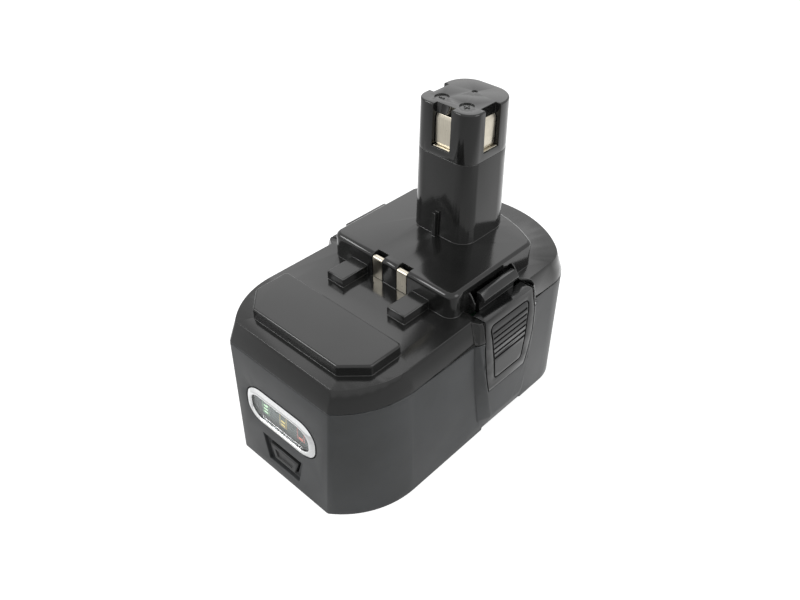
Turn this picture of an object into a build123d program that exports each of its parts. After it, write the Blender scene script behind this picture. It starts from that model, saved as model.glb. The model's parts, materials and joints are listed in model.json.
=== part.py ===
from build123d import *
import math
import os

os.makedirs("parts", exist_ok=True)

# Stem-type rechargeable battery pack for a hand power tool, in millimetres.
# +Z is up, the charge gauge faces -Y, the contact stem stands towards +Y.
# The pack stands on its flat base; the latches are on the +X and -X sides.

# Case outline at the seam between the lower case and the top cover
half_width = 38.0
front_reach = 65.3
rear_reach = 65.7
front_corner_radius = 35.5
front_crease_half_width = 25.2
crease_radius = 1.8
rear_corner_radius = 16.7
rear_arc_radius = 46.7
rear_narrowing = 0.8
base_inset = 0.1
base_front_outset = 1.5
case_wall = 2.4
floor_thickness = 2.5
seam_height = 50.4
seam_bevel = 0.3

# Top cover
band_height = 8.5
band_side_inset = 2.7
band_front_inset = 2.9
roof_thickness = 2.35
tongue_thickness = 1.0
tongue_depth = 2.0
tongue_clearance = 0.15
pad_side_margin = 9.1
pad_chamfer_width = 7.9
pad_front_margin = 8.4
pad_chamfer_run = 7.8
pad_length = 22.1
pad_height = 4.2
pad_edge_radius = 0.8
pad_corner_radius = 1.6
rib_inner = 11.0
rib_outer = 19.3
rib_reach = 23.7
rib_height = 3.55
rib_edge_radius = 0.5
deck_side_margin = 8.3
deck_front_reach = 11.2
deck_rear = 44.3
deck_rear_radius = 52.0
deck_corner_radius = 4.0
deck_height = 9.95
deck_edge_radius = 2.0
deck_set_back = 0.45
deck_step_start = 4.4
deck_step_run = 2.6
deck_wall = 2.2

# Contact stem
stem_half_width = 12.8
stem_front = 15.0
stem_rear = 41.4
stem_height = 51.1
stem_draft = 0.8
stem_wall = 2.2
stem_front_radius = 5.5
stem_rear_corner_radius = 9.0
stem_cap_height = 18.7
stem_edge_radius = 0.7
stem_foot_rib_width = 1.4
stem_foot_rib_reach = 1.6
stem_foot_rib_height = 10.0
spigot_depth = 5.0
spigot_clearance = 0.15
window_half_width = 4.1
window_depth = 2.3
window_height = 15.8
side_window_center = 26.7
contact_clearance = 0.25
contact_thickness = 0.9
contact_half_width = 3.75
contact_height = 11.9
mark_height = 0.35
mark_width = 0.55
mark_length = 2.4
mark_dish_radius = 2.6
mark_dish_depth = 0.5
mark_offset_x = 5.6
mark_offset_y = 6.3
dimple_radius = 1.0
dimple_depth = 0.4

# Signal contacts folded over the front edge of the deck
signal_offset = 6.0
signal_half_width = 2.25
signal_slot_clearance = 0.35
signal_slot_depth = 1.1
signal_thickness = 0.7
signal_set_back = 0.15
signal_top_drop = 0.9
signal_length = 2.4
signal_reach = 3.8
signal_bend_radius = 1.0

# Latches
latch_center = 10.3
panel_half_width = 14.2
panel_top_half_width = 13.6
panel_waist_half_width = 13.1
panel_foot_half_width = 10.5
panel_foot_drop = 25.5
panel_waist_drop = 13.9
panel_bend_drop = 2.4
panel_top_gap = 0.15
panel_thickness = 1.8
panel_gap = 0.35
bulge_depth = 2.7
shelf_thickness = 1.8
web_gap = 1.3
web_thickness = 1.7
shelf_set_out = 2.2
hook_half_length = 9.8
hook_depth = 3.7
hook_rise = 7.0
hook_ramp_drop = 1.6
hook_lip = 1.3
hook_height = 3.6
latch_travel = 4.5
niche_half_length = 11.8
niche_shift = 0.5
niche_top_drop = 0.25
niche_wall = 1.2
niche_back_clearance = 0.35
niche_board_gap = 0.3
cheek_thickness = 0.7
cheek_top_reach = 1.1
cheek_reach = 2.9
cheek_bend_drop = 0.8
cheek_slope_drop = 3.5
cheek_shelf_gap = 0.4
pocket_depth = 2.0
backing_thickness = 1.6
backing_half_length = 16.0
grip_frame_half_width = 11.6
grip_frame_foot_half_width = 8.3
grip_frame_rise = 5.2
grip_frame_drop = 21.1
grip_frame_radius = 2.4
grip_frame_width = 0.7
grip_groove_rise = 1.6
grip_groove_pitch = 2.4
grip_groove_width = 0.9
grip_groove_half_length = 10.0
grip_groove_taper = 1.1
grip_groove_count = 6
grip_depth = 0.6
pin_proud = 0.2
pin_rise = 3.1
pin_radius = 0.9
pin_half_length = 13.3
pin_clearance = 0.05
pin_press = 0.02
knuckle_radius = 1.9
knuckle_half_length = 10.2
spring_drop = 11.4
spring_radius = 2.2
spring_wire_radius = 0.225
spring_turns = 3
spring_cup_radius = 3.0
spring_cup_depth = 0.8
spring_boss_radius = 1.4
spring_boss_length = 1.0
spring_end_gap = 0.1

# Charge gauge on the front face
gauge_height = 28.8
bezel_half_length = 17.9
bezel_half_height = 9.1
bezel_radius = 8.0
bezel_band = 3.3
bezel_proud = 0.9
bezel_round = 0.9
gauge_pocket_clearance = 0.8
gauge_pocket_depth = 1.4
gauge_backing_depth = 1.6
gauge_ledge = 1.0
lens_clearance = 0.08
lens_set_back = 0.1
icon_plate_thickness = 0.6
icon_pitch = 9.3
light_box_depth = 3.9
light_box_wall = 0.9
gauge_fit = 0.1
board_thickness = 1.2
gauge_board_half_width = 18.0
gauge_board_foot = 4.2
gauge_board_top = 42.0
led_half_width = 1.4
led_height = 1.6
led_half_length = 1.75
led_dome_share = 0.8
led_base_share = 0.5

# Test button under the gauge
button_recess_half_width = 10.9
button_recess_foot_half_width = 8.1
button_recess_top = 16.2
button_recess_foot = 4.6
button_recess_depth = 1.0
button_half_width = 7.7
button_foot_half_width = 5.4
button_top = 13.0
button_foot = 6.5
button_gap = 0.35
button_face_lead = 0.2
button_flange = 0.9
button_flange_thickness = 0.7
button_flange_gap = 0.1
button_travel = 0.7
button_dimple_half_width = 5.0
button_dimple_foot_half_width = 3.9
button_dimple_top = 11.4
button_dimple_foot = 8.0
button_dimple_depth = 0.5
switch_half_width = 3.0
switch_clearance = 0.2
plunger_radius = 1.3
plunger_gap = 0.05

# Cells and holders
cell_radius = 9.2
cell_end_room = 3.2
cell_pitch = 18.9
cell_layers = 2
cell_groove_depth = 0.5
cell_groove_width = 1.2
cell_groove_set_back = 3.0
cell_cap_radius = 4.0
cell_cap_height = 0.4
holder_reach = 9.0
holder_web = 0.8
holder_rim = 0.9
holder_chamfer = 1.6
holder_clearance = 0.06
holder_window_radius = 6.8
foam_thickness = 1.0
foam_gap = 0.05
strip_thickness = 0.2
strip_half_width = 4.2
strip_pad_radius = 4.6
strip_gap = 0.03
sheet_thickness = 0.25
sheet_gap = 0.1
sheet_set_back = 5.0

# Main circuit board
board_lift = 0.6
main_board_thickness = 1.6
board_side_margin = 9.5
board_front_margin = 23.3
board_rear_margin = 23.7
post_radius = 2.4
post_inset = 2.8
board_screw_radius = 1.0
board_screw_head_radius = 1.9
board_screw_head_height = 1.3
board_screw_length = 6.0
board_screw_socket_share = 0.7
board_hole_clearance = 0.2
fet_half_width = 3.3
fet_half_length = 4.6
fet_height = 2.3
fet_pitch = 11.0
fet_count = 4
fet_set_back = 2.0
fet_tab_shares = (0.8, 1.4, 0.4)
fet_leg_shares = (0.6, 0.15, 1.5, 0.25)
chip_half_width = 5.0
chip_height = 1.4
chip_set_back = 0.9
chip_lift_share = 0.1
chip_leg_count = 8
chip_leg_shares = (0.8, 0.25, 0.9, 1.2, 0.3)
capacitor_radius = 2.6
capacitor_height = 5.0
capacitor_across_share = 0.55
capacitor_set_back = 16.0
shunt_half_width = 1.6
shunt_half_length = 3.2
shunt_height = 0.9
shunt_set_back = 2.8
connector_half_width = 5.0
connector_half_length = 2.4
connector_height = 3.6
lead_radius = 0.6
lead_pitch = 2.0
lead_count = 4
lead_bend_share = 0.6
lead_foot_run = 1.6
lead_foot_radius = 1.2
bead_radius = 1.5
seat_gap = 0.03

# Case screws
screw_front_across = 21.7
screw_front_along = 15.7
screw_rear_across = 4.4
screw_rear_along = 10.1
boss_radius = 3.2
boss_drop = 6.4
screw_recess_radius = 2.5
screw_seat_drop = 6.5
screw_head_radius = 2.3
screw_head_height = 2.0
screw_shank_radius = 1.25
screw_hole_clearance = 0.2
screw_pilot_clearance = 0.03
screw_length = 16.0
screw_socket_radius = 1.2
screw_socket_depth = 1.1
post_gap = 0.05

overrun = 4.0

# Places worked out from the sizes above
top_plane = seam_height + band_height
deck_top = top_plane + deck_height
stem_top = deck_top + stem_height
cap_foot = stem_top - stem_cap_height
window_foot = stem_top - window_height
roof_under = top_plane - roof_thickness
deck_under = deck_top - deck_wall
corner_x = half_width - front_corner_radius
crease_run = front_crease_half_width - corner_x
corner_y = math.sqrt(front_corner_radius ** 2 - crease_run ** 2) - front_reach
rear_corner_x = half_width - rear_narrowing - rear_corner_radius
rear_arc_y = rear_reach - rear_arc_radius
rear_link = rear_arc_radius - rear_corner_radius
rear_corner_y = rear_arc_y + math.sqrt(rear_link ** 2 - rear_corner_x ** 2)
pad_half_width = half_width - pad_side_margin
pad_front_half_width = pad_half_width - pad_chamfer_width
pad_front_reach = front_reach - pad_front_margin
pad_chamfer_reach = pad_front_reach - pad_chamfer_run
pad_rear_reach = pad_front_reach - pad_length
deck_half_width = half_width - deck_side_margin
deck_side = deck_half_width - deck_set_back
panel_top = top_plane - panel_top_gap
panel_foot = seam_height - panel_foot_drop
panel_waist = seam_height - panel_waist_drop
panel_bend = seam_height - panel_bend_drop
web_inner = deck_half_width + web_gap
shelf_inner = web_inner + shelf_set_out
hook_reach = web_inner + hook_depth
hook_top = top_plane + hook_rise
niche_top = hook_top - niche_top_drop
niche_center = latch_center + niche_shift
pocket_floor = half_width - pocket_depth
backing_inner = pocket_floor - backing_thickness
grip_frame_top = seam_height + grip_frame_rise
grip_frame_foot = seam_height - grip_frame_drop
grip_groove_top = seam_height + grip_groove_rise
pin_out = half_width + pin_proud
pin_height = panel_foot + pin_rise
hook_swing = (hook_top - pin_height) * math.sin(math.radians(latch_travel))
niche_back = web_inner - hook_swing - niche_back_clearance
spring_height = seam_height - spring_drop
boss_top = seam_height - boss_drop
screw_seat = boss_top - screw_seat_drop
front_face = -(front_reach + base_front_outset * (1 - gauge_height / seam_height))
gauge_front = front_face - bezel_proud
origin_shift = -(gauge_front + rear_reach) / 2
cell_first_height = floor_thickness + foam_thickness + foam_gap + holder_rim / 2 + cell_radius
cell_half_length = half_width - base_inset - case_wall - cell_end_room
holder_foot = floor_thickness + foam_thickness + foam_gap
holder_top = cell_first_height + (cell_layers - 1) * cell_pitch + cell_radius + holder_rim
holder_end = cell_half_length + cell_cap_height + seat_gap + holder_web
strip_out = holder_end + strip_gap
board_height = seam_height + board_lift
board_top = board_height + main_board_thickness
main_board_half_width = half_width - board_side_margin
board_front = board_front_margin - front_reach
board_rear = rear_reach - board_rear_margin

# As many rows of cells as the case holds between its rounded corners
holder_side = holder_end - holder_chamfer
front_bend = math.sqrt((front_corner_radius - case_wall) ** 2 - (holder_side - corner_x) ** 2)
rear_bend = math.sqrt((rear_corner_radius - case_wall) ** 2 - (holder_side - rear_corner_x) ** 2)
cell_room_front = corner_y - front_bend
cell_room_rear = rear_corner_y + rear_bend
cell_rows = int((cell_room_rear - cell_room_front) / cell_pitch)
cell_center = (cell_room_rear + cell_room_front) / 2
holder_half_length = (cell_rows - 1) / 2 * cell_pitch + cell_radius + holder_rim / 2
switch_height = (button_top + button_foot) / 2
icon_front = gauge_pocket_depth + gauge_fit
light_box_front = icon_front + icon_plate_thickness + seat_gap
gauge_board_front = light_box_front + light_box_depth + seat_gap
button_back = case_wall + button_flange_gap + button_flange_thickness
switch_front = button_back + button_travel + switch_clearance
switch_depth = gauge_board_front - seat_gap - switch_front


def outline(inset, front_inset, height, crease=True):
    """Plan outline of the case, drawn in from the seam outline by the two insets."""
    radius = front_corner_radius - inset
    front = -(front_reach - front_inset)
    crease_x = corner_x + math.sqrt(radius ** 2 - (corner_y - front) ** 2)
    side = half_width - inset
    rear_side = side - rear_narrowing
    bend = math.atan2(corner_y - front, crease_x - corner_x) / 2
    corner_mid = (corner_x + radius * math.cos(bend), corner_y - radius * math.sin(bend))
    turn = math.atan2(rear_corner_y - rear_arc_y, rear_corner_x)
    small = rear_corner_radius - inset
    large = rear_arc_radius - inset
    rear_mid = (rear_corner_x + small * math.cos(turn / 2), rear_corner_y + small * math.sin(turn / 2))
    joint = (large * math.cos(turn), rear_arc_y + large * math.sin(turn))
    edges = [
        Line((-crease_x, front), (crease_x, front)),
        ThreePointArc((crease_x, front), corner_mid, (side, corner_y)),
        Line((side, corner_y), (rear_side, rear_corner_y)),
        ThreePointArc((rear_side, rear_corner_y), rear_mid, joint),
        ThreePointArc(joint, (0, rear_arc_y + large), (-joint[0], joint[1])),
        ThreePointArc((-joint[0], joint[1]), (-rear_mid[0], rear_mid[1]),
                      (-rear_side, rear_corner_y)),
        Line((-rear_side, rear_corner_y), (-side, corner_y)),
        ThreePointArc((-side, corner_y), (-corner_mid[0], corner_mid[1]), (-crease_x, front)),
    ]
    face = make_face(edges)
    if crease:
        tips = [v for v in face.vertices() if abs(v.Y - front) < seam_bevel and abs(v.X) > half_width / 3]
        face = fillet(tips, crease_radius)
    return Pos(0, 0, height) * face


def block(x0, x1, y0, y1, z0, z1):
    """Box between two opposite corners."""
    size = (x1 - x0, y1 - y0, z1 - z0)
    return Pos((x0 + x1) / 2, (y0 + y1) / 2, (z0 + z1) / 2) * Box(*size)


def rod(x, y, z0, z1, radius):
    """Upright cylinder."""
    return Pos(x, y, (z0 + z1) / 2) * Cylinder(radius, z1 - z0)


def rod_x(x0, x1, y, z, radius):
    """Cylinder along X."""
    return Pos((x0 + x1) / 2, y, z) * Rot(0, 90, 0) * Cylinder(radius, x1 - x0)


def rod_y(x, y0, y1, z, radius):
    """Cylinder along Y."""
    return Pos(x, (y0 + y1) / 2, z) * Rot(90, 0, 0) * Cylinder(radius, y1 - y0)


def front_plate(points, y0, y1):
    """Outline in X and Z, extruded from y0 to y1."""
    face = make_face(Polyline(*points, close=True))
    return Plane((0, y1, 0), x_dir=(1, 0, 0), z_dir=(0, -1, 0)) * extrude(face, amount=y1 - y0)


def rounded_front_plate(half_length, half_height, radius, z, y0, y1):
    """Rounded rectangle in X and Z, extruded from y0 to y1."""
    face = RectangleRounded(2 * half_length, 2 * half_height, radius)
    return Plane((0, y1, z), x_dir=(1, 0, 0), z_dir=(0, -1, 0)) * extrude(face, amount=y1 - y0)


def side_plate(face, x0, x1):
    """Face drawn in Y and Z, extruded from x0 to x1."""
    return Plane((x0, 0, 0), x_dir=(0, 1, 0), z_dir=(1, 0, 0)) * extrude(face, amount=x1 - x0)


def deep(amount):
    """Place in Y at this depth behind the front face."""
    return front_face + amount


def mirrored(shape):
    """The same shape on the other side of the middle plane."""
    return mirror(shape, about=Plane.YZ)


# Bulge round each latch: plan sections from the base to the top plane.
# Each row: height, how far the crown stands out, and the places along Y of the
# foot and crest of the front flank and of the crest and foot of the rear flank.
bulge_height_shares = (0.0, 0.165, 0.525, 0.78, 1.0)
bulge_out_shares = (-0.45, 0.76, 1.0, 1.0, 0.74)
bulge_crest_drop_shares = (0.0, 0.0, 0.02, 0.06, 0.22)
bulge_foot_front_shares = (0.60, 0.87, 1.10, 1.20, 1.27)
bulge_crest_front_shares = (0.44, 0.50, 0.88, 1.08, 1.19)
bulge_crest_rear_shares = (0.86, 0.86, 0.96, 1.06, 1.15)
bulge_foot_rear_shares = (1.15, 1.18, 1.21, 1.23, 1.25)
bulge_gap_shares = (0.32, 0.42, 0.84, 0.99, 1.04)
bulge_top_out_share = 1.19
bulge_top_crest_drop_share = 0.22
bulge_top_foot_share = 1.22
bulge_top_crest_share = 1.11
bulge_top_gap_share = 1.0
bulge_root_share = 0.6


def bulge_section(height, wall_x, crown_x, drop, foot_f, crest_f, crest_r, foot_r, gap):
    """Plan polygon of the bulge at one height."""
    reach = panel_half_width
    root = wall_x - bulge_root_share * case_wall
    crest_x = crown_x - drop
    points = [
        (root, latch_center - foot_f * reach),
        (wall_x, latch_center - foot_f * reach),
        (crest_x, latch_center - crest_f * reach),
        (crown_x, latch_center - gap * reach),
        (crown_x, latch_center + gap * reach),
        (crest_x, latch_center + crest_r * reach),
        (wall_x, latch_center + foot_r * reach),
        (root, latch_center + foot_r * reach),
    ]
    return Pos(0, 0, height) * make_face(Polyline(*points, close=True))


def lower_bulge():
    """Bulge of the lower case on the +X side."""
    sections = []
    for i, share in enumerate(bulge_height_shares):
        wall_x = half_width - base_inset * (1 - share)
        crown_x = half_width + bulge_depth * bulge_out_shares[i]
        wall_x = min(wall_x, crown_x)
        drop = bulge_depth * bulge_crest_drop_shares[i]
        sections.append(bulge_section(
            share * seam_height, wall_x, crown_x, drop, bulge_foot_front_shares[i],
            bulge_crest_front_shares[i], bulge_crest_rear_shares[i],
            bulge_foot_rear_shares[i], bulge_gap_shares[i]))
    return loft(sections, ruled=True)


def upper_bulge():
    """Bulge of the top cover on the +X side: the two ears beside the latch."""
    i = len(bulge_height_shares) - 1
    crown_x = half_width + bulge_depth * bulge_out_shares[i]
    low = bulge_section(
        seam_height, half_width, crown_x, bulge_depth * bulge_crest_drop_shares[i],
        bulge_foot_front_shares[i], bulge_crest_front_shares[i], bulge_crest_rear_shares[i],
        bulge_foot_rear_shares[i], bulge_gap_shares[i])
    top_x = half_width - band_side_inset
    top_crown = top_x + bulge_depth * bulge_top_out_share
    high = bulge_section(
        top_plane, top_x, top_crown, bulge_depth * bulge_top_crest_drop_share,
        bulge_top_foot_share, bulge_top_crest_share, bulge_top_crest_share,
        bulge_top_foot_share, bulge_top_gap_share)
    return loft([low, high], ruled=True)


def panel_outline(grow, top):
    """Latch panel outline in Y and Z, tapering to its foot."""
    wide = panel_half_width + grow
    waist = panel_waist_half_width + grow
    foot = panel_foot_half_width + grow
    upper = panel_top_half_width + grow
    low = panel_foot - grow
    c = latch_center
    edges = [
        Line((c - foot, low), (c + foot, low)),
        ThreePointArc((c + foot, low), (c + waist, panel_waist), (c + wide, panel_bend)),
        Line((c + wide, panel_bend), (c + upper, top)),
        Line((c + upper, top), (c - upper, top)),
        Line((c - upper, top), (c - wide, panel_bend)),
        ThreePointArc((c - wide, panel_bend), (c - waist, panel_waist), (c - foot, low)),
    ]
    return make_face(edges)


def screw_places():
    """Plan places of the four case screws, from the middles of the corner rounds."""
    front_x = corner_x + screw_front_across
    front_y = corner_y - screw_front_along
    rear_x = rear_corner_x + screw_rear_across
    rear_y = rear_corner_y + screw_rear_along
    return [
        (front_x, front_y), (-front_x, front_y),
        (rear_x, rear_y), (-rear_x, rear_y),
    ]


def button_outline(grow):
    """Outline of the button cap in X and Z."""
    top = button_half_width + grow
    foot = button_foot_half_width + grow
    return [(-top, button_top + grow), (top, button_top + grow),
            (foot, button_foot - grow), (-foot, button_foot - grow)]


def make_bottom_case():
    bevel_top = outline(seam_bevel, seam_bevel, seam_height)
    bevel_foot = outline(0, 0, seam_height - seam_bevel)
    shell = loft([outline(base_inset, -base_front_outset, 0), bevel_foot], ruled=True)
    shell += loft([bevel_foot, bevel_top], ruled=True)
    bulge = lower_bulge()
    crown_low = half_width + bulge_depth * bulge_out_shares[0]
    scoop_points = [(crown_low, 0), (half_width + overrun, 0), (half_width + overrun, overrun),
                    (half_width + bulge_depth * bulge_out_shares[1],
                     bulge_height_shares[1] * seam_height)]
    scoop_face = make_face(Polyline(*scoop_points, close=True))
    scoop_rear = panel_half_width * bulge_foot_rear_shares[0]
    scoop_run = scoop_rear + panel_half_width * bulge_foot_front_shares[0]
    scoop = Plane((0, latch_center + scoop_rear, 0), x_dir=(1, 0, 0), z_dir=(0, -1, 0)) * extrude(
        scoop_face, amount=scoop_run)
    shell -= scoop
    shell -= mirrored(scoop)
    for side in (bulge, mirrored(bulge)):
        shell += side
    inner_low = outline(base_inset + case_wall, case_wall - base_front_outset, floor_thickness,
                        False)
    inner_top = outline(case_wall, case_wall, seam_height, False)
    shell -= loft([inner_low, inner_top], ruled=True)
    backing = block(backing_inner, pocket_floor, latch_center - backing_half_length,
                    latch_center + backing_half_length, 0, seam_height)
    shell += backing
    shell += mirrored(backing)
    pocket = side_plate(panel_outline(panel_gap, seam_height + overrun), pocket_floor,
                        half_width + bulge_depth + overrun)
    pocket += rod_x(pocket_floor - spring_cup_depth, pocket_floor + overrun, latch_center,
                    spring_height, spring_cup_radius)
    pocket += rod_y(pin_out, latch_center - pin_half_length - pin_press,
                    latch_center + pin_half_length + pin_press, pin_height, pin_radius + pin_press)
    shell -= pocket
    shell -= mirrored(pocket)
    # Tongue rebate round the inside of the rim
    rebate = loft([outline(case_wall - tongue_thickness - tongue_clearance,
                           case_wall - tongue_thickness - tongue_clearance,
                           seam_height - tongue_depth - tongue_clearance, False),
                   outline(case_wall - tongue_thickness - tongue_clearance,
                           case_wall - tongue_thickness - tongue_clearance,
                           seam_height + overrun, False)], ruled=True)
    keep = block(backing_inner - overrun, half_width + overrun,
                 latch_center - backing_half_length - overrun,
                 latch_center + backing_half_length + overrun, 0, seam_height + overrun)
    shell -= rebate - keep - mirrored(keep)
    # Screw bosses with their deep recesses, open below
    for x, y in screw_places():
        shell += rod(x, y, floor_thickness / 2, boss_top, boss_radius)
        shell -= rod(x, y, -overrun, screw_seat, screw_recess_radius)
        shell -= rod(x, y, screw_seat - overrun, boss_top + overrun,
                     screw_shank_radius + screw_hole_clearance)
    # Gauge pocket, its thickened back and the light opening
    shell += rounded_front_plate(bezel_half_length + gauge_backing_depth,
                                 bezel_half_height + gauge_backing_depth,
                                 bezel_radius + gauge_backing_depth, gauge_height,
                                 deep(case_wall / 2), deep(gauge_pocket_depth + gauge_backing_depth))
    shell -= rounded_front_plate(bezel_half_length + gauge_pocket_clearance,
                                 bezel_half_height + gauge_pocket_clearance,
                                 bezel_radius + gauge_pocket_clearance, gauge_height,
                                 deep(-overrun), deep(gauge_pocket_depth))
    hole_half = bezel_half_length - bezel_band - gauge_ledge
    hole_high = bezel_half_height - bezel_band - gauge_ledge
    shell -= rounded_front_plate(hole_half, hole_high, bezel_radius - bezel_band - gauge_ledge,
                                 gauge_height, deep(-overrun),
                                 deep(gauge_pocket_depth + gauge_backing_depth + overrun))
    # Button recess and the opening for the cap
    recess = [(-button_recess_half_width, button_recess_top),
              (button_recess_half_width, button_recess_top),
              (button_recess_foot_half_width, button_recess_foot),
              (-button_recess_foot_half_width, button_recess_foot)]
    shell -= front_plate(recess, deep(-overrun), deep(button_recess_depth))
    shell -= front_plate(button_outline(button_gap), deep(-overrun), deep(case_wall + overrun / 2))
    return shell


def deck_face(grow, height):
    """Plan outline of the deck."""
    wide = deck_half_width + grow
    front = -(deck_front_reach + grow)
    center = deck_rear - deck_rear_radius
    radius = deck_rear_radius + grow
    corner = center + math.sqrt(radius ** 2 - wide ** 2)
    edges = [
        Line((-wide, front), (wide, front)),
        Line((wide, front), (wide, corner)),
        ThreePointArc((wide, corner), (0, center + radius), (-wide, corner)),
        Line((-wide, corner), (-wide, front)),
    ]
    face = fillet(make_face(edges).vertices(), deck_corner_radius + grow)
    return Pos(0, 0, height) * face


def deck_set_back_face(height):
    """Plan outline of the deck behind its front corners, where sides and rear are set back."""
    front = -(deck_front_reach + overrun)
    step_front = deck_step_start - deck_front_reach
    step_rear = step_front + deck_step_run
    center = deck_rear - deck_rear_radius
    radius = deck_rear_radius - deck_set_back
    corner = center + math.sqrt(radius ** 2 - deck_side ** 2)
    edges = [
        Line((0, front), (deck_half_width, front)),
        Line((deck_half_width, front), (deck_half_width, step_front)),
        Spline((deck_half_width, step_front), (deck_side, step_rear), tangents=[(0, 1), (0, 1)]),
        Line((deck_side, step_rear), (deck_side, corner)),
        ThreePointArc((deck_side, corner), (deck_side / 2, center + math.sqrt(
            radius ** 2 - (deck_side / 2) ** 2)), (0, center + radius)),
        Line((0, center + radius), (0, front)),
    ]
    half = make_face(edges)
    bend = [v for v in half.vertices() if v.X > deck_side / 2 and v.Y > corner - deck_set_back]
    half = fillet(bend, deck_corner_radius - deck_set_back)
    return Pos(0, 0, height) * half


def stem_face(grow, height):
    """Plan outline of the stem: flat front, rounded front lobes, arched rear."""
    wide = stem_half_width + grow
    front = stem_front - grow
    rear = stem_rear + grow
    r1 = stem_front_radius + grow
    r2 = stem_rear_corner_radius + grow
    face = Pos(0, (front + rear) / 2) * Rectangle(2 * wide, rear - front)
    low = [v for v in face.vertices() if v.Y < (front + rear) / 2]
    face = fillet(low, r1)
    high = [v for v in face.vertices() if v.Y > rear - stem_wall]
    face = fillet(high, r2)
    return Pos(0, 0, height) * face


def stem_solid(grow, low, high):
    """Stem with its draft between two heights, grown or drawn in all round."""
    slope = stem_draft / stem_height
    return loft([stem_face(grow + slope * (stem_top - low), low),
                 stem_face(grow + slope * (stem_top - high), high)], ruled=True)


def pad_points(grow):
    """Plan outline of the raised pad."""
    return [(-(pad_front_half_width + grow), -(pad_front_reach + grow)),
            (pad_front_half_width + grow, -(pad_front_reach + grow)),
            (pad_half_width + grow, -(pad_chamfer_reach + grow)),
            (pad_half_width + grow, -(pad_rear_reach - grow)),
            (-(pad_half_width + grow), -(pad_rear_reach - grow)),
            (-(pad_half_width + grow), -(pad_chamfer_reach + grow))]


def contact_guides(depth, half, low, high):
    """Three upright slots inside the stem walls, for the contact strips."""
    slots = block(-half, half, stem_front + depth, stem_front + depth + stem_wall, low, high)
    right = block(stem_half_width - depth - stem_wall, stem_half_width - depth,
                  side_window_center - half, side_window_center + half, low, high)
    return slots + right + mirrored(right)


def signal_slots():
    """Slots for the signal contacts over the front edge of the deck."""
    half = signal_half_width + signal_slot_clearance
    cut = None
    for x in (-signal_offset, signal_offset):
        face = block(x - half, x + half, -(deck_front_reach + overrun),
                     signal_slot_depth - deck_front_reach, top_plane, deck_top + overrun)
        inner = signal_set_back + signal_length - signal_thickness - signal_slot_clearance
        roof = block(x - half, x + half, -(deck_front_reach + overrun),
                     signal_reach - deck_front_reach,
                     deck_top - signal_top_drop - signal_thickness - signal_set_back,
                     deck_top + overrun)
        slit = block(x - half, x + half, inner - deck_front_reach,
                     signal_reach - deck_front_reach, roof_under, deck_top + overrun)
        piece = face + roof + slit
        cut = piece if cut is None else cut + piece
    return cut


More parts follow.
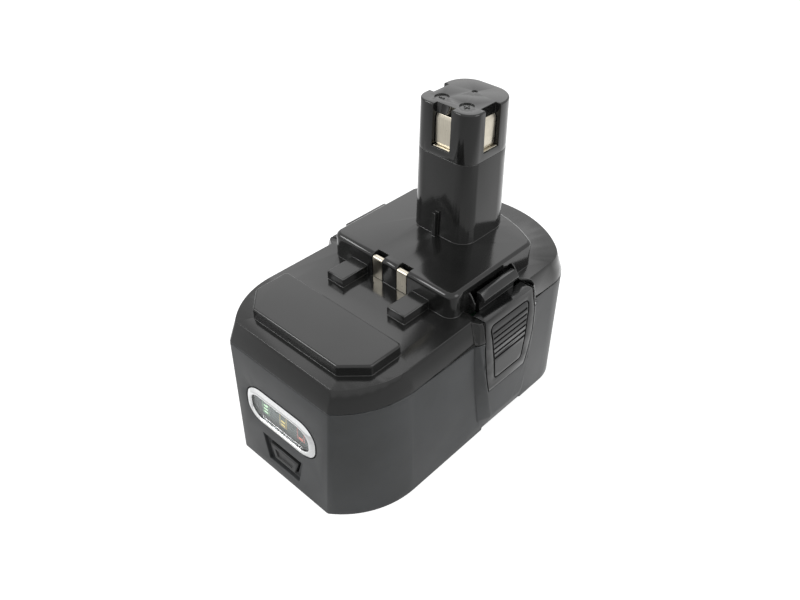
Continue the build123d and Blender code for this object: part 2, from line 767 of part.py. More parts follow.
def make_top_cover():
    bevel_foot = outline(seam_bevel, seam_bevel, seam_height)
    bevel_top = outline(0, 0, seam_height + seam_bevel)
    lower = loft([bevel_foot, bevel_top], ruled=True)
    cover = lower + loft([bevel_top, outline(band_side_inset, band_front_inset, top_plane)],
                         ruled=True)
    ears = upper_bulge()
    cover += ears
    cover += mirrored(ears)
    pad = extrude(Pos(0, 0, top_plane - roof_thickness / 2) * make_face(
        Polyline(*pad_points(0), close=True)), amount=pad_height + roof_thickness / 2)
    tall = pad.edges().filter_by(Axis.Z)
    pad = fillet(tall, pad_corner_radius)
    pad = fillet(pad.faces().sort_by(Axis.Z)[-1].edges(), pad_edge_radius)
    cover += pad
    deck = extrude(deck_face(0, top_plane - roof_thickness / 2),
                   amount=deck_height + roof_thickness / 2)
    deck = fillet(deck.faces().sort_by(Axis.Z)[-1].edges(), deck_edge_radius)
    keep = extrude(deck_set_back_face(top_plane - roof_thickness), amount=deck_height + overrun)
    deck = deck & (keep + mirrored(keep))
    cover += deck
    for side in (-1, 1):
        x0, x1 = sorted((side * rib_inner, side * rib_outer))
        rib = block(x0, x1, -rib_reach, -(deck_front_reach - deck_wall / 2),
                    top_plane - roof_thickness / 2, top_plane + rib_height)
        rib = fillet(rib.faces().sort_by(Axis.Z)[-1].edges(), rib_edge_radius)
        cover += rib
    cover += stem_solid(0, deck_top - deck_wall / 2, cap_foot)
    cover += block(-stem_foot_rib_width / 2, stem_foot_rib_width / 2,
                   stem_front - stem_draft - stem_foot_rib_reach, stem_front + stem_wall / 2,
                   deck_top - deck_wall / 2, deck_top + stem_foot_rib_height)
    # Hollow inside
    band_share = roof_thickness / band_height
    hollow = loft([outline(case_wall, case_wall, seam_height, False),
                   outline(case_wall + band_side_inset * (1 - band_share),
                           case_wall + band_front_inset * (1 - band_share), roof_under, False)],
                  ruled=True)
    cover -= hollow
    cover -= extrude(Pos(0, 0, roof_under - overrun) * make_face(
        Polyline(*pad_points(-case_wall), close=True)), amount=pad_height + overrun)
    deck_hollow = extrude(deck_face(-deck_wall, roof_under - overrun),
                          amount=deck_under - roof_under + overrun)
    cover -= deck_hollow
    # Closed back of each latch niche, clear of the hook when the latch is pressed
    box = block(niche_back - niche_wall, deck_side - (deck_wall - deck_set_back) / 2,
                niche_center - niche_half_length - niche_wall,
                niche_center + niche_half_length + niche_wall,
                board_top + niche_board_gap, deck_under + deck_wall / 2)
    cover += box
    cover += mirrored(box)
    cover -= stem_solid(-stem_wall, deck_under - overrun, cap_foot + overrun)
    cover -= contact_guides(window_depth - contact_thickness - seat_gap,
                            contact_half_width + contact_clearance, deck_under - overrun,
                            cap_foot + overrun)
    # Posts over the case screws
    for x, y in screw_places():
        post = rod(x, y, boss_top + post_gap, roof_under + roof_thickness / 2, boss_radius)
        cover += post
        cover -= rod(x, y, boss_top - overrun, screw_seat + screw_length + post_gap,
                     screw_shank_radius + screw_pilot_clearance)
    # Tongue that locates the cover in the lower case
    lip_out = case_wall - tongue_thickness
    tongue = loft([outline(lip_out, lip_out, seam_height - tongue_depth, False),
                   outline(lip_out, lip_out, seam_height + tongue_depth, False)], ruled=True)
    tongue -= loft([outline(case_wall, case_wall, seam_height - tongue_depth - overrun, False),
                    outline(case_wall, case_wall, seam_height + tongue_depth + overrun, False)],
                   ruled=True)
    keep = block(backing_inner - overrun, half_width + overrun,
                 latch_center - backing_half_length - overrun - tongue_clearance,
                 latch_center + backing_half_length + overrun + tongue_clearance,
                 0, top_plane)
    cover += tongue - keep - mirrored(keep)
    # Latch notches: open from the deck wall outwards, and the hook slot in the deck wall
    notch = side_plate(panel_outline(panel_gap, top_plane + overrun), deck_side,
                       half_width + bulge_depth + overrun)
    notch += block(niche_back, deck_half_width + overrun, niche_center - niche_half_length,
                   niche_center + niche_half_length, roof_under - overrun, niche_top)
    cover -= notch
    cover -= mirrored(notch)
    # Cheeks that stand out beside the hook, with a sloping edge
    foot = panel_top + cheek_shelf_gap
    inside = deck_side - (deck_wall - deck_set_back) / 2
    bend = niche_top - cheek_bend_drop
    cheek = make_face(Polyline(
        (inside, foot), (deck_side + cheek_reach, foot),
        (deck_side + cheek_reach, niche_top - cheek_slope_drop),
        (deck_side + cheek_top_reach, bend), (deck_side, niche_top), (inside, niche_top),
        close=True))
    for y in (niche_center - niche_half_length, niche_center + niche_half_length + cheek_thickness):
        plate = Plane((0, y, 0), x_dir=(1, 0, 0), z_dir=(0, -1, 0)) * extrude(
            cheek, amount=cheek_thickness)
        cover += plate
        cover += mirrored(plate)
    cover -= signal_slots()
    return cover


def make_stem_cap():
    cap = stem_solid(0, cap_foot, stem_top)
    cap = fillet(cap.faces().sort_by(Axis.Z)[-1].edges(), stem_edge_radius)
    cap += stem_solid(-(stem_wall + spigot_clearance), cap_foot - spigot_depth,
                      cap_foot + spigot_depth)
    # Contact windows, open at the top
    half = window_half_width
    windows = block(-half, half, stem_front - overrun, stem_front + window_depth, window_foot,
                    stem_top + overrun)
    right = block(stem_half_width - window_depth, stem_half_width + overrun,
                  side_window_center - half, side_window_center + half, window_foot,
                  stem_top + overrun)
    cap -= windows
    cap -= right
    cap -= mirrored(right)
    # Slots that the contact strips pass through
    cap -= contact_guides(window_depth - contact_thickness - seat_gap,
                          contact_half_width + contact_clearance / 2,
                          cap_foot - spigot_depth - overrun, window_foot + overrun)
    # Raised polarity marks in round dishes, and a moulding dimple
    mark_y = stem_front + mark_offset_y
    dish_floor = stem_top - mark_dish_depth
    for side in (-1, 1):
        cap -= rod(side * mark_offset_x, mark_y, dish_floor, stem_top + overrun, mark_dish_radius)
        bar = Box(mark_length, mark_width, 2 * mark_height)
        if side > 0:
            bar += Box(mark_width, mark_length, 2 * mark_height)
        cap += Pos(side * mark_offset_x, mark_y, dish_floor) * bar
    cap -= Pos(0, (stem_front + stem_rear) / 2 + window_half_width, stem_top) * Cylinder(
        dimple_radius, 2 * dimple_depth)
    return cap


def contact_strip():
    """Flat terminal strip at the origin of its window: from the board up into the window."""
    top = window_foot + contact_height
    strip = block(-contact_half_width, contact_half_width, 0, contact_thickness,
                  board_top + seat_gap, top)
    return fillet(strip.edges().filter_by(Axis.Y), contact_thickness)


def make_contact_thermistor():
    depth = window_depth - contact_thickness - seat_gap / 2
    return Pos(0, stem_front + depth, 0) * contact_strip()


def make_contact_positive():
    depth = window_depth - contact_thickness - seat_gap / 2
    strip = Rot(0, 0, 90) * contact_strip()
    return Pos(stem_half_width - depth, side_window_center, 0) * strip


def make_signal_contact(side):
    """Strip folded over the deck edge and down to the board inside."""
    x = side * signal_offset
    front = signal_set_back - deck_front_reach
    rear = front + signal_length
    top = deck_top - signal_top_drop
    low_front = top_plane + signal_set_back
    low_rear = board_top + seat_gap
    t = signal_thickness
    outer = [(front, low_front), (front, top), (rear, top), (rear, low_rear),
             (rear - t, low_rear), (rear - t, top - t), (front + t, top - t),
             (front + t, low_front)]
    face = make_face(Polyline(*outer, close=True))
    bends = [v for v in face.vertices() if abs(v.Y - top) < t / 2]
    face = fillet(bends, signal_bend_radius)
    inner = [v for v in face.vertices() if abs(v.Y - (top - t)) < t / 2
             and front + t / 2 < v.X < rear - t / 2]
    face = fillet(inner, signal_bend_radius - t)
    return side_plate(face, x - signal_half_width, x + signal_half_width)


def make_latch_right():
    skin = lower_bulge() + upper_bulge()
    outline_block = side_plate(panel_outline(0, panel_top), pocket_floor - overrun,
                               half_width + bulge_depth + overrun)
    panel = (skin & outline_block) - Pos(-panel_thickness, 0, 0) * skin
    inside = side_plate(panel_outline(0, panel_top), pocket_floor - overrun,
                        half_width - case_wall / 2)
    panel -= inside
    # Grip: a rounded frame groove and level rib grooves
    top, foot = grip_frame_top, grip_frame_foot
    wide, low = grip_frame_half_width, grip_frame_foot_half_width
    c = latch_center
    frame_points = [(c - wide, top), (c + wide, top), (c + low, foot), (c - low, foot)]
    frame = make_face(Polyline(*frame_points, close=True))
    frame = fillet(frame.vertices(), grip_frame_radius)
    hole = offset(frame, amount=-grip_frame_width)
    grooves = side_plate(frame - hole, half_width, half_width + bulge_depth + overrun)
    for i in range(grip_groove_count):
        z = grip_groove_top - i * grip_groove_pitch
        half = grip_groove_half_length - grip_groove_taper * i / (grip_groove_count - 1)
        grooves += block(half_width, half_width + bulge_depth + overrun, c - half, c + half,
                         z - grip_groove_width / 2, z + grip_groove_width / 2)
    panel -= grooves - Pos(-grip_depth, 0, 0) * skin
    # Shelf at the top, the web that rises from it, and the hook
    crown_top = half_width - band_side_inset + bulge_depth * bulge_top_out_share
    shelf = block(shelf_inner, crown_top - panel_thickness / 2, c - panel_top_half_width,
                  c + panel_top_half_width, panel_top - shelf_thickness, panel_top)
    web = block(web_inner, shelf_inner + web_thickness, c - hook_half_length,
                c + hook_half_length, panel_top - shelf_thickness, panel_top)
    low_hook = hook_top - hook_height
    hook_points = [
        (web_inner, panel_top - shelf_thickness), (web_inner, hook_top),
        (web_inner + web_thickness, hook_top), (hook_reach, hook_top - hook_ramp_drop),
        (hook_reach, hook_top - hook_ramp_drop - hook_lip),
        (web_inner + web_thickness, low_hook),
        (web_inner + web_thickness, panel_top - shelf_thickness)]
    hook_face = make_face(Polyline(*hook_points, close=True))
    hook = Plane((0, c + hook_half_length, 0), x_dir=(1, 0, 0), z_dir=(0, -1, 0)) * extrude(
        hook_face, amount=2 * hook_half_length)
    latch = panel + shelf + web + hook
    # Knuckle for the hinge pin, and the boss that centres the spring
    latch += rod_y(pin_out, c - knuckle_half_length, c + knuckle_half_length, pin_height,
                   knuckle_radius)
    crown = half_width + bulge_depth
    latch += rod_x(crown - panel_thickness - spring_boss_length, crown - panel_thickness / 2,
                   c, spring_height, spring_boss_radius)
    latch -= rod_y(pin_out, c - panel_half_width, c + panel_half_width, pin_height,
                   pin_radius + pin_clearance)
    return latch


def make_latch_pin_right():
    return rod_y(pin_out, latch_center - pin_half_length, latch_center + pin_half_length,
                 pin_height, pin_radius)


def biarc(p0, t0, p1, t1):
    """Two arcs, tangent to each other, from p0 along t0 to p1 along t1."""
    v = p1 - p0
    t = t0 + t1
    a = 2 * (1 - t0.dot(t1))
    b = 2 * v.dot(t)
    c = -v.dot(v)
    d = (-b + math.sqrt(b * b - 4 * a * c)) / (2 * a) if abs(a) > 1e-9 else -c / b
    q0 = p0 + t0 * d
    q1 = p1 - t1 * d
    middle = (q0 + q1) * 0.5
    return [TangentArc(p0, middle, tangent=t0), TangentArc(middle, p1, tangent=(q1 - q0))]


def make_latch_spring_right():
    """Compression coil between the case and the back of the latch panel."""
    start = pocket_floor - spring_cup_depth + spring_wire_radius + spring_end_gap
    end = half_width + bulge_depth - panel_thickness - spring_wire_radius - spring_end_gap
    rise = (end - start) / spring_turns
    slope = rise / math.tau

    def place(angle):
        return Vector(start + slope * angle, latch_center + spring_radius * math.cos(angle),
                      spring_height + spring_radius * math.sin(angle))

    def heading(angle):
        return Vector(slope, -spring_radius * math.sin(angle),
                      spring_radius * math.cos(angle)).normalized()

    steps = spring_turns * 4
    edges = []
    for i in range(steps):
        a0 = math.tau * i / 4
        a1 = math.tau * (i + 1) / 4
        edges += biarc(place(a0), heading(a0), place(a1), heading(a1))
    path = Wire(edges)
    gap = rise - 2 * spring_wire_radius
    points = [path @ (i / (steps * 8)) for i in range(steps * 8 + 1)]
    least = min((p - q).length - 2 * spring_wire_radius for i, p in enumerate(points)
                for q in points[i + 20:])
    print("latch spring: pitch gap", round(gap, 3), "least gap to itself", round(least, 3))
    profile = Plane(origin=path @ 0, z_dir=path % 0) * Circle(spring_wire_radius)
    return sweep(profile, path=path)


def make_gauge_bezel():
    ring = rounded_front_plate(bezel_half_length, bezel_half_height, bezel_radius, gauge_height,
                               gauge_front, deep(gauge_pocket_depth - seat_gap))
    edges = ring.faces().sort_by(Axis.Y)[0].edges()
    ring = fillet(edges, bezel_round)
    ring -= rounded_front_plate(bezel_half_length - bezel_band, bezel_half_height - bezel_band,
                                bezel_radius - bezel_band, gauge_height, gauge_front - overrun,
                                deep(gauge_pocket_depth + overrun))
    return ring


def make_gauge_lens():
    shrink = bezel_band + lens_clearance
    return rounded_front_plate(bezel_half_length - shrink, bezel_half_height - shrink,
                               bezel_radius - shrink, gauge_height, deep(lens_set_back),
                               deep(gauge_pocket_depth - seat_gap))


def make_gauge_icon_plate():
    shrink = bezel_band + gauge_ledge + gauge_fit
    return rounded_front_plate(bezel_half_length - shrink, bezel_half_height - shrink,
                               bezel_radius - shrink, gauge_height, deep(icon_front),
                               deep(icon_front + icon_plate_thickness))


def make_gauge_light_box():
    """Reflector with one chamber behind each icon."""
    shrink = bezel_band + gauge_ledge + gauge_fit
    half = bezel_half_length - shrink
    high = bezel_half_height - shrink
    box = rounded_front_plate(half, high, bezel_radius - shrink, gauge_height,
                              deep(light_box_front), deep(light_box_front + light_box_depth))
    chamber = (icon_pitch - light_box_wall) / 2
    for x in (-icon_pitch, 0, icon_pitch):
        reach = min(chamber, half - light_box_wall - abs(x))
        box -= Pos(x, 0, 0) * rounded_front_plate(
            reach, high - light_box_wall, bezel_radius - shrink - light_box_wall, gauge_height,
            deep(light_box_front - overrun), deep(light_box_front + light_box_depth + overrun))
    return box


def make_gauge_board():
    return block(-gauge_board_half_width, gauge_board_half_width, deep(gauge_board_front),
                 deep(gauge_board_front + board_thickness), gauge_board_foot, gauge_board_top)


def make_led(x):
    back = gauge_board_front - seat_gap
    body = block(x - led_half_length, x + led_half_length,
                 deep(back - led_height * led_base_share), deep(back),
                 gauge_height - led_half_width, gauge_height + led_half_width)
    dome = rod_y(x, deep(back - led_height), deep(back - led_height * led_base_share / 2),
                 gauge_height, led_half_width * led_dome_share)
    return body + dome


def make_test_button():
    cap = front_plate(button_outline(0), deep(-button_face_lead),
                      deep(button_back))
    cap = fillet(cap.faces().sort_by(Axis.Y)[0].edges(), button_dimple_depth)
    cap += front_plate(button_outline(button_flange), deep(case_wall + button_flange_gap),
                       deep(button_back))
    dimple = [(-button_dimple_half_width, button_dimple_top),
              (button_dimple_half_width, button_dimple_top),
              (button_dimple_foot_half_width, button_dimple_foot),
              (-button_dimple_foot_half_width, button_dimple_foot)]
    cap -= front_plate(dimple, deep(-overrun), deep(button_dimple_depth - button_face_lead))
    return cap


def make_switch_plunger():
    return rod_y(0, deep(button_back + plunger_gap), deep(switch_front + switch_depth / 2),
                 switch_height, plunger_radius)


def make_test_switch():
    low = deep(switch_front)
    body = block(-switch_half_width, switch_half_width, low, deep(gauge_board_front - seat_gap),
                 switch_height - switch_half_width, switch_height + switch_half_width)
    bore_end = switch_front + switch_depth / 2 + button_travel + plunger_gap
    return body - rod_y(0, low - overrun, deep(bore_end), switch_height,
                        plunger_radius + plunger_gap)


def row_place(row):
    """Place in Y of a row of cells."""
    return cell_center + (row - (cell_rows - 1) / 2) * cell_pitch


def cell_places():
    """Y and Z of each cell, front to rear in the lower layer, then the upper."""
    places = []
    for layer in range(cell_layers):
        for row in range(cell_rows):
            places.append((row, row_place(row), cell_first_height + layer * cell_pitch))
    return places


def make_cell(row, y, z):
    """Round cell across the pack; the rows alternate the side of the + cap."""
    side = 1 if row % 2 == 0 else -1
    body = rod_x(-cell_half_length, cell_half_length, 0, 0, cell_radius)
    neck = cell_half_length - cell_groove_set_back
    body -= rod_x(neck, neck + cell_groove_width, 0, 0, cell_radius + overrun) - rod_x(
        neck - overrun, neck + cell_groove_width + overrun, 0, 0, cell_radius - cell_groove_depth)
    body += rod_x(cell_half_length - cell_cap_height, cell_half_length + cell_cap_height, 0, 0,
                  cell_cap_radius)
    if side < 0:
        body = mirrored(body)
    return Pos(0, y, z) * body


def make_cell_holder_right():
    inner = cell_half_length - holder_reach
    holder = block(inner, holder_end, cell_center - holder_half_length,
                   cell_center + holder_half_length, holder_foot, holder_top)
    corners = [e for e in holder.edges().filter_by(Axis.Z) if e.center().X > cell_half_length]
    holder = chamfer(corners, holder_chamfer)
    for row, y, z in cell_places():
        holder -= rod_x(inner - overrun, holder_end - holder_web, y, z,
                        cell_radius + holder_clearance)
        holder -= rod_x(inner, holder_end + overrun, y, z, holder_window_radius)
    for x, y in post_places():
        if x > 0:
            holder += rod(x, y, holder_top - holder_rim, board_height - seat_gap, post_radius)
            holder -= rod(x, y, board_height - board_screw_length, board_height + overrun,
                          board_screw_radius + screw_pilot_clearance)
    return holder


def post_places():
    """Plan places of the board posts and their screws."""
    x = main_board_half_width - post_inset
    front = cell_center - (cell_rows - 2) / 2 * cell_pitch
    rear = cell_center + (cell_rows - 2) / 2 * cell_pitch
    return [(x, front), (x, rear), (-x, front), (-x, rear)]


def strip_groups(side):
    """Rows joined by each strip on this side, so that the groups are in series."""
    rows = list(range(cell_rows))
    if side > 0:
        return [rows[:1]] + [rows[i:i + 2] for i in range(1, cell_rows, 2)]
    return [rows[i:i + 2] for i in range(0, cell_rows, 2)]


def make_nickel_strips(side):
    """Nickel strips that join the cells' ends, with tabs on the first and last."""
    whole = None
    low = cell_first_height - strip_half_width
    high = cell_first_height + (cell_layers - 1) * cell_pitch + strip_half_width
    for group in strip_groups(side):
        ys = [row_place(row) for row in group]
        plate = block(strip_out, strip_out + strip_thickness, ys[0] - strip_half_width,
                      ys[-1] + strip_half_width, low, high)
        for row, y in zip(group, ys):
            for layer in range(cell_layers):
                z = cell_first_height + layer * cell_pitch
                plus = (row % 2 == 0) == (side > 0)
                reach = cell_half_length + (cell_cap_height if plus else 0) + seat_gap
                plate += rod_x(reach, strip_out + strip_thickness, y, z, strip_pad_radius)
        if len(group) == 1:
            y = ys[0]
            plate += block(strip_out, strip_out + strip_thickness, y - strip_half_width / 2,
                           y + strip_half_width / 2, high - strip_half_width, board_top
                           + 2 * seat_gap + strip_thickness)
            plate += block(main_board_half_width - post_inset, strip_out + strip_thickness,
                           y - strip_half_width / 2, y + strip_half_width / 2,
                           board_top + 2 * seat_gap, board_top + 2 * seat_gap + strip_thickness)
        whole = plate if whole is None else whole + plate
    return whole if side > 0 else mirrored(whole)


def make_insulator_right():
    x = strip_out + strip_thickness + sheet_gap
    half = holder_half_length - sheet_set_back
    return block(x, x + sheet_thickness, cell_center - half, cell_center + half, holder_foot,
                 holder_top)


def make_foam_pad():
    half = cell_half_length - holder_reach
    return block(-half, half, cell_center - holder_half_length, cell_center + holder_half_length,
                 floor_thickness + foam_gap / 2, cell_first_height - cell_radius - foam_gap)


def make_main_board():
    half = main_board_half_width
    board = block(-half, half, board_front, board_rear, board_height, board_top)
    board = fillet(board.edges().filter_by(Axis.Z), post_inset / 2)
    for x, y in post_places():
        board -= rod(x, y, board_height - overrun, board_top + overrun,
                     board_screw_radius + board_hole_clearance)
    return board


def make_board_screws():
    screws = None
    for x, y in post_places():
        top = board_top + seat_gap
        screw = rod(x, y, top, top + board_screw_head_height, board_screw_head_radius)
        screw += rod(x, y, board_height - board_screw_length + seat_gap, top + seat_gap,
                     board_screw_radius)
        screw -= rod(x, y, top + board_screw_head_height / 2, top + overrun,
                     board_screw_radius * board_screw_socket_share)
        screws = screw if screws is None else screws + screw
    return screws


def make_power_transistors():
    """Switching transistors in a row near the front of the board, tabs to the rear."""
    low = board_top + seat_gap
    y = (connector_place() - deck_front_reach) / 2 + fet_set_back
    tab_wide, tab_reach, tab_high = fet_tab_shares
    leg_place, leg_wide, leg_reach, leg_high = fet_leg_shares
    parts = None
    for i in range(fet_count):
        x = (i - (fet_count - 1) / 2) * fet_pitch
        piece = block(x - fet_half_width, x + fet_half_width, y - fet_half_length,
                      y + fet_half_length, low, low + fet_height)
        piece += block(x - fet_half_width * tab_wide, x + fet_half_width * tab_wide,
                       y + fet_half_length, y + fet_half_length * tab_reach, low,
                       low + fet_height * tab_high)
        for leg in (-1, 1):
            at = x + leg * fet_half_width * leg_place
            piece += block(at - fet_half_width * leg_wide, at + fet_half_width * leg_wide,
                           y - fet_half_length * leg_reach, y - fet_half_length, low,
                           low + fet_height * leg_high)
        parts = piece if parts is None else parts + piece
    return parts


def make_controller_chip():
    low = board_top + seat_gap
    half = chip_half_width
    y = (stem_front + board_rear) / 2 + chip_set_back
    row, wide, root, reach, high = chip_leg_shares
    chip = block(-half, half, y - half, y + half, low + chip_height * chip_lift_share,
                 low + chip_height)
    step = 2 * half * row / (chip_leg_count - 1)
    width = step * wide
    top = low + chip_height * high
    for i in range(chip_leg_count):
        at = i * step - half * row
        for leg in (-1, 1):
            x0, x1 = sorted((leg * half * root, leg * half * reach))
            chip += block(x0, x1, y + at - width, y + at + width, low, top)
            chip += block(at - width, at + width, y + x0, y + x1, low, top)
    return chip


def make_capacitors():
    low = board_top + seat_gap
    parts = None
    across = main_board_half_width * capacitor_across_share
    for x in (-across, across):
        can = rod(x, board_rear - capacitor_set_back, low, low + capacitor_height,
                  capacitor_radius)
        can = fillet(can.edges().sort_by(Axis.Z)[-1:], capacitor_radius / 8)
        parts = can if parts is None else parts + can
    return parts


def make_shunt():
    low = board_top + seat_gap
    y = shunt_set_back - deck_front_reach
    return block(-shunt_half_length, shunt_half_length, y - shunt_half_width,
                 y + shunt_half_width, low, low + shunt_height)


def connector_place():
    """Middle of the lead connector on the main board."""
    return board_front + connector_half_length + lead_radius


def make_lead_connector():
    low = board_top + seat_gap
    y = connector_place()
    body = block(-connector_half_width, connector_half_width, y - connector_half_length,
                 y + connector_half_length, low, low + connector_height)
    mid = low + connector_height / 2
    for i in range(lead_count):
        x = (i - (lead_count - 1) / 2) * lead_pitch
        body -= rod_y(x, y - connector_half_length - overrun, y, mid, lead_radius + pin_clearance)
    return body


def make_gauge_leads():
    """Four leads from the top of the gauge board to the connector."""
    parts = None
    mid = board_top + seat_gap + connector_height / 2
    back = deep(gauge_board_front + board_thickness) + seat_gap
    start_y = back + lead_foot_run
    low = gauge_board_top - connector_half_length
    end_y = connector_place() - lead_radius
    bend = min(end_y - start_y, mid - low) * lead_bend_share
    for i in range(lead_count):
        x = (i - (lead_count - 1) / 2) * lead_pitch
        path = FilletPolyline((x, back, low), (x, start_y, low), (x, start_y, mid),
                              (x, end_y, mid), radius=[lead_foot_radius, bend])
        profile = Plane(origin=(x, back, low), z_dir=(0, 1, 0)) * Circle(lead_radius)
        lead = sweep(profile, path=path)
        parts = lead if parts is None else parts + lead
    return parts


def make_thermistor():
    """Bead that rests between two upper cells, with its leads up to the board."""
    y = row_place(cell_rows // 2) + cell_pitch / 2
    z = cell_first_height + (cell_layers - 1) * cell_pitch
    away = cell_radius + bead_radius + seat_gap
    bead_z = z + math.sqrt(away ** 2 - (cell_pitch / 2) ** 2)
    bead = Pos(0, y, bead_z) * Sphere(bead_radius)
    leads = None
    for x in (-bead_radius / 2, bead_radius / 2):
        lead = rod(x, y, bead_z, board_height - seat_gap, lead_radius / 2)
        leads = lead if leads is None else leads + lead
    return bead + leads


def make_case_screws():
    parts = None
    for x, y in screw_places():
        top = screw_seat - seat_gap
        screw = rod(x, y, top - screw_head_height, top, screw_head_radius)
        screw += rod(x, y, top - seat_gap, screw_seat + screw_length, screw_shank_radius)
        screw -= rod(x, y, top - screw_head_height - overrun,
                     top - screw_head_height + screw_socket_depth, screw_socket_radius)
        parts = screw if parts is None else parts + screw
    return parts


nodes = {
    "bottom_case": make_bottom_case(),
    "top_cover": make_top_cover(),
    "stem_cap": make_stem_cap(),
    "contact_thermistor": make_contact_thermistor(),
    "contact_positive": make_contact_positive(),
    "contact_negative": mirrored(make_contact_positive()),
    "signal_contact_right": make_signal_contact(1),
    "signal_contact_left": make_signal_contact(-1),
    "latch_right": make_latch_right(),
    "latch_left": mirrored(make_latch_right()),
    "latch_pin_right": make_latch_pin_right(),
    "latch_pin_left": mirrored(make_latch_pin_right()),
    "latch_spring_right": make_latch_spring_right(),
    "latch_spring_left": mirrored(make_latch_spring_right()),
    "gauge_bezel": make_gauge_bezel(),
    "gauge_lens": make_gauge_lens(),
    "gauge_icon_plate": make_gauge_icon_plate(),
    "gauge_light_box": make_gauge_light_box(),
    "gauge_board": make_gauge_board(),
    "led_green": make_led(-icon_pitch),
    "led_amber": make_led(0),
    "led_red": make_led(icon_pitch),
    "test_button": make_test_button(),
    "test_switch": make_test_switch(),
    "switch_plunger": make_switch_plunger(),
    "cell_holder_right": make_cell_holder_right(),
    "cell_holder_left": mirrored(make_cell_holder_right()),
    "nickel_strips_right": make_nickel_strips(1),
    "nickel_strips_left": make_nickel_strips(-1),
    "insulator_sheet_right": make_insulator_right(),
    "insulator_sheet_left": mirrored(make_insulator_right()),
    "foam_pad": make_foam_pad(),
    "main_board": make_main_board(),
    "board_screws": make_board_screws(),
    "power_transistors": make_power_transistors(),
    "controller_chip": make_controller_chip(),
    "capacitors": make_capacitors(),
    "current_shunt": make_shunt(),
    "lead_connector": make_lead_connector(),
    "gauge_leads": make_gauge_leads(),
    "thermistor": make_thermistor(),
    "case_screws": make_case_screws(),
}
for number, (row, y, z) in enumerate(cell_places()):
    nodes["cell_%d" % (number + 1)] = make_cell(row, y, z)

for name, shape in nodes.items():
    export_step(Pos(0, origin_shift, 0) * shape, "parts/%s.step" % name)
print(len(nodes), "nodes written")
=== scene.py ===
# %% [markdown]
# # A stem battery pack for a cordless tool, dressed for its picture
#
# The engineering model arrives with every part in its right place, so this
# lesson only decides how things look: the camera, the light, the finish of
# each material, and the few pieces whose real shape is finer than the solid.
# All lengths are in metres, +Z is up and the charge gauge faces -Y.

# %% Load the frame and keep its box
import json
import math

import bmesh
import bpy
import numpy as np
from mathutils import Matrix, Vector

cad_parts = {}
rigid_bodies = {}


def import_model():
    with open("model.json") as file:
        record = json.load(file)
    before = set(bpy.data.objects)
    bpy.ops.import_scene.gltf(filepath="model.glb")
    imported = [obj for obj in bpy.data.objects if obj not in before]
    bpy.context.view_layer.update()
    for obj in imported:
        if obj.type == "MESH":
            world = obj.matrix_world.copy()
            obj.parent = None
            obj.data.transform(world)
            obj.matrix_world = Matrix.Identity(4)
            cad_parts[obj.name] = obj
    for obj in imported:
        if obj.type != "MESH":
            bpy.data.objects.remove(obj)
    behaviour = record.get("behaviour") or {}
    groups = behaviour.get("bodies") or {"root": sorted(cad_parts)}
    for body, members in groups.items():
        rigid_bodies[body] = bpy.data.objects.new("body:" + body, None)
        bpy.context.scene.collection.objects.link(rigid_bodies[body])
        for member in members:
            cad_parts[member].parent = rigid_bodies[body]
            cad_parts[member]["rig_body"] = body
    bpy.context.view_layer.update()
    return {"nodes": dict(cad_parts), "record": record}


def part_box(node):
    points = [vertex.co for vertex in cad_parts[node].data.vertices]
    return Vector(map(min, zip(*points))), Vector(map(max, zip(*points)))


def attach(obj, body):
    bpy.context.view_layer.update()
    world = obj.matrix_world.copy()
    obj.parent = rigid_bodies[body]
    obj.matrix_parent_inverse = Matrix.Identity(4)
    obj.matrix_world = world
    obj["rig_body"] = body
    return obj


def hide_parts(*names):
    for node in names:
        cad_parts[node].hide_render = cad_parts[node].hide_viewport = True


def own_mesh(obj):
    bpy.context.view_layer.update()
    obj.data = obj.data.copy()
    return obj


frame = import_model()
MM = 0.001

# %% [markdown]
# ## The camera
#
# A product photograph is usually taken from above one corner with a long lens.
# The numbers below were found by matching edges of the pack to the picture:
# where the lens stands, how it is turned, and its focal length in pixels of
# an 800 by 600 frame. A rotation matrix is built from its three axes, because
# that says exactly where right, up and back are.

# %% Camera
PICTURE_WIDTH, PICTURE_HEIGHT = 800, 600
FOCAL_PIXELS = 811.37
LENS_CENTER = (391.70, 289.05)
CAMERA_PLACE = (0.16337, -0.17908, 0.23853)
CAMERA_TURN, CAMERA_HEIGHT_ANGLE, CAMERA_ROLL = (math.radians(a) for a in (43.88, 37.70, -0.16))
SENSOR = 36.0
CLIP_NEAR, CLIP_FAR = 0.01, 50.0


def camera_axes(turn, height, roll):
    """Right, up and back of a camera that stands turned round Z by turn and above by height."""
    back = np.array([math.sin(turn) * math.cos(height), -math.cos(turn) * math.cos(height),
                     math.sin(height)])
    level = np.array([math.cos(turn), math.sin(turn), 0.0])
    upright = np.cross(back, level)
    right = math.cos(roll) * level + math.sin(roll) * upright
    up = -math.sin(roll) * level + math.cos(roll) * upright
    return right, up, back


def make_camera():
    """Camera with the photograph's place, turn, focal length and small shift."""
    data = bpy.data.cameras.new("camera")
    data.sensor_width = SENSOR
    data.lens = FOCAL_PIXELS * SENSOR / PICTURE_WIDTH
    data.shift_x = (PICTURE_WIDTH / 2 - LENS_CENTER[0]) / PICTURE_WIDTH
    data.shift_y = (LENS_CENTER[1] - PICTURE_HEIGHT / 2) / PICTURE_WIDTH
    data.clip_start, data.clip_end = CLIP_NEAR, CLIP_FAR
    camera = bpy.data.objects.new("camera", data)
    bpy.context.scene.collection.objects.link(camera)
    axes = camera_axes(CAMERA_TURN, CAMERA_HEIGHT_ANGLE, CAMERA_ROLL)
    turn = Matrix([axes[0], axes[1], axes[2]]).transposed().to_4x4()
    camera.matrix_world = Matrix.Translation(CAMERA_PLACE) @ turn
    bpy.context.scene.camera = camera
    return camera


camera = make_camera()
print("camera lens in mm:", round(camera.data.lens, 2))

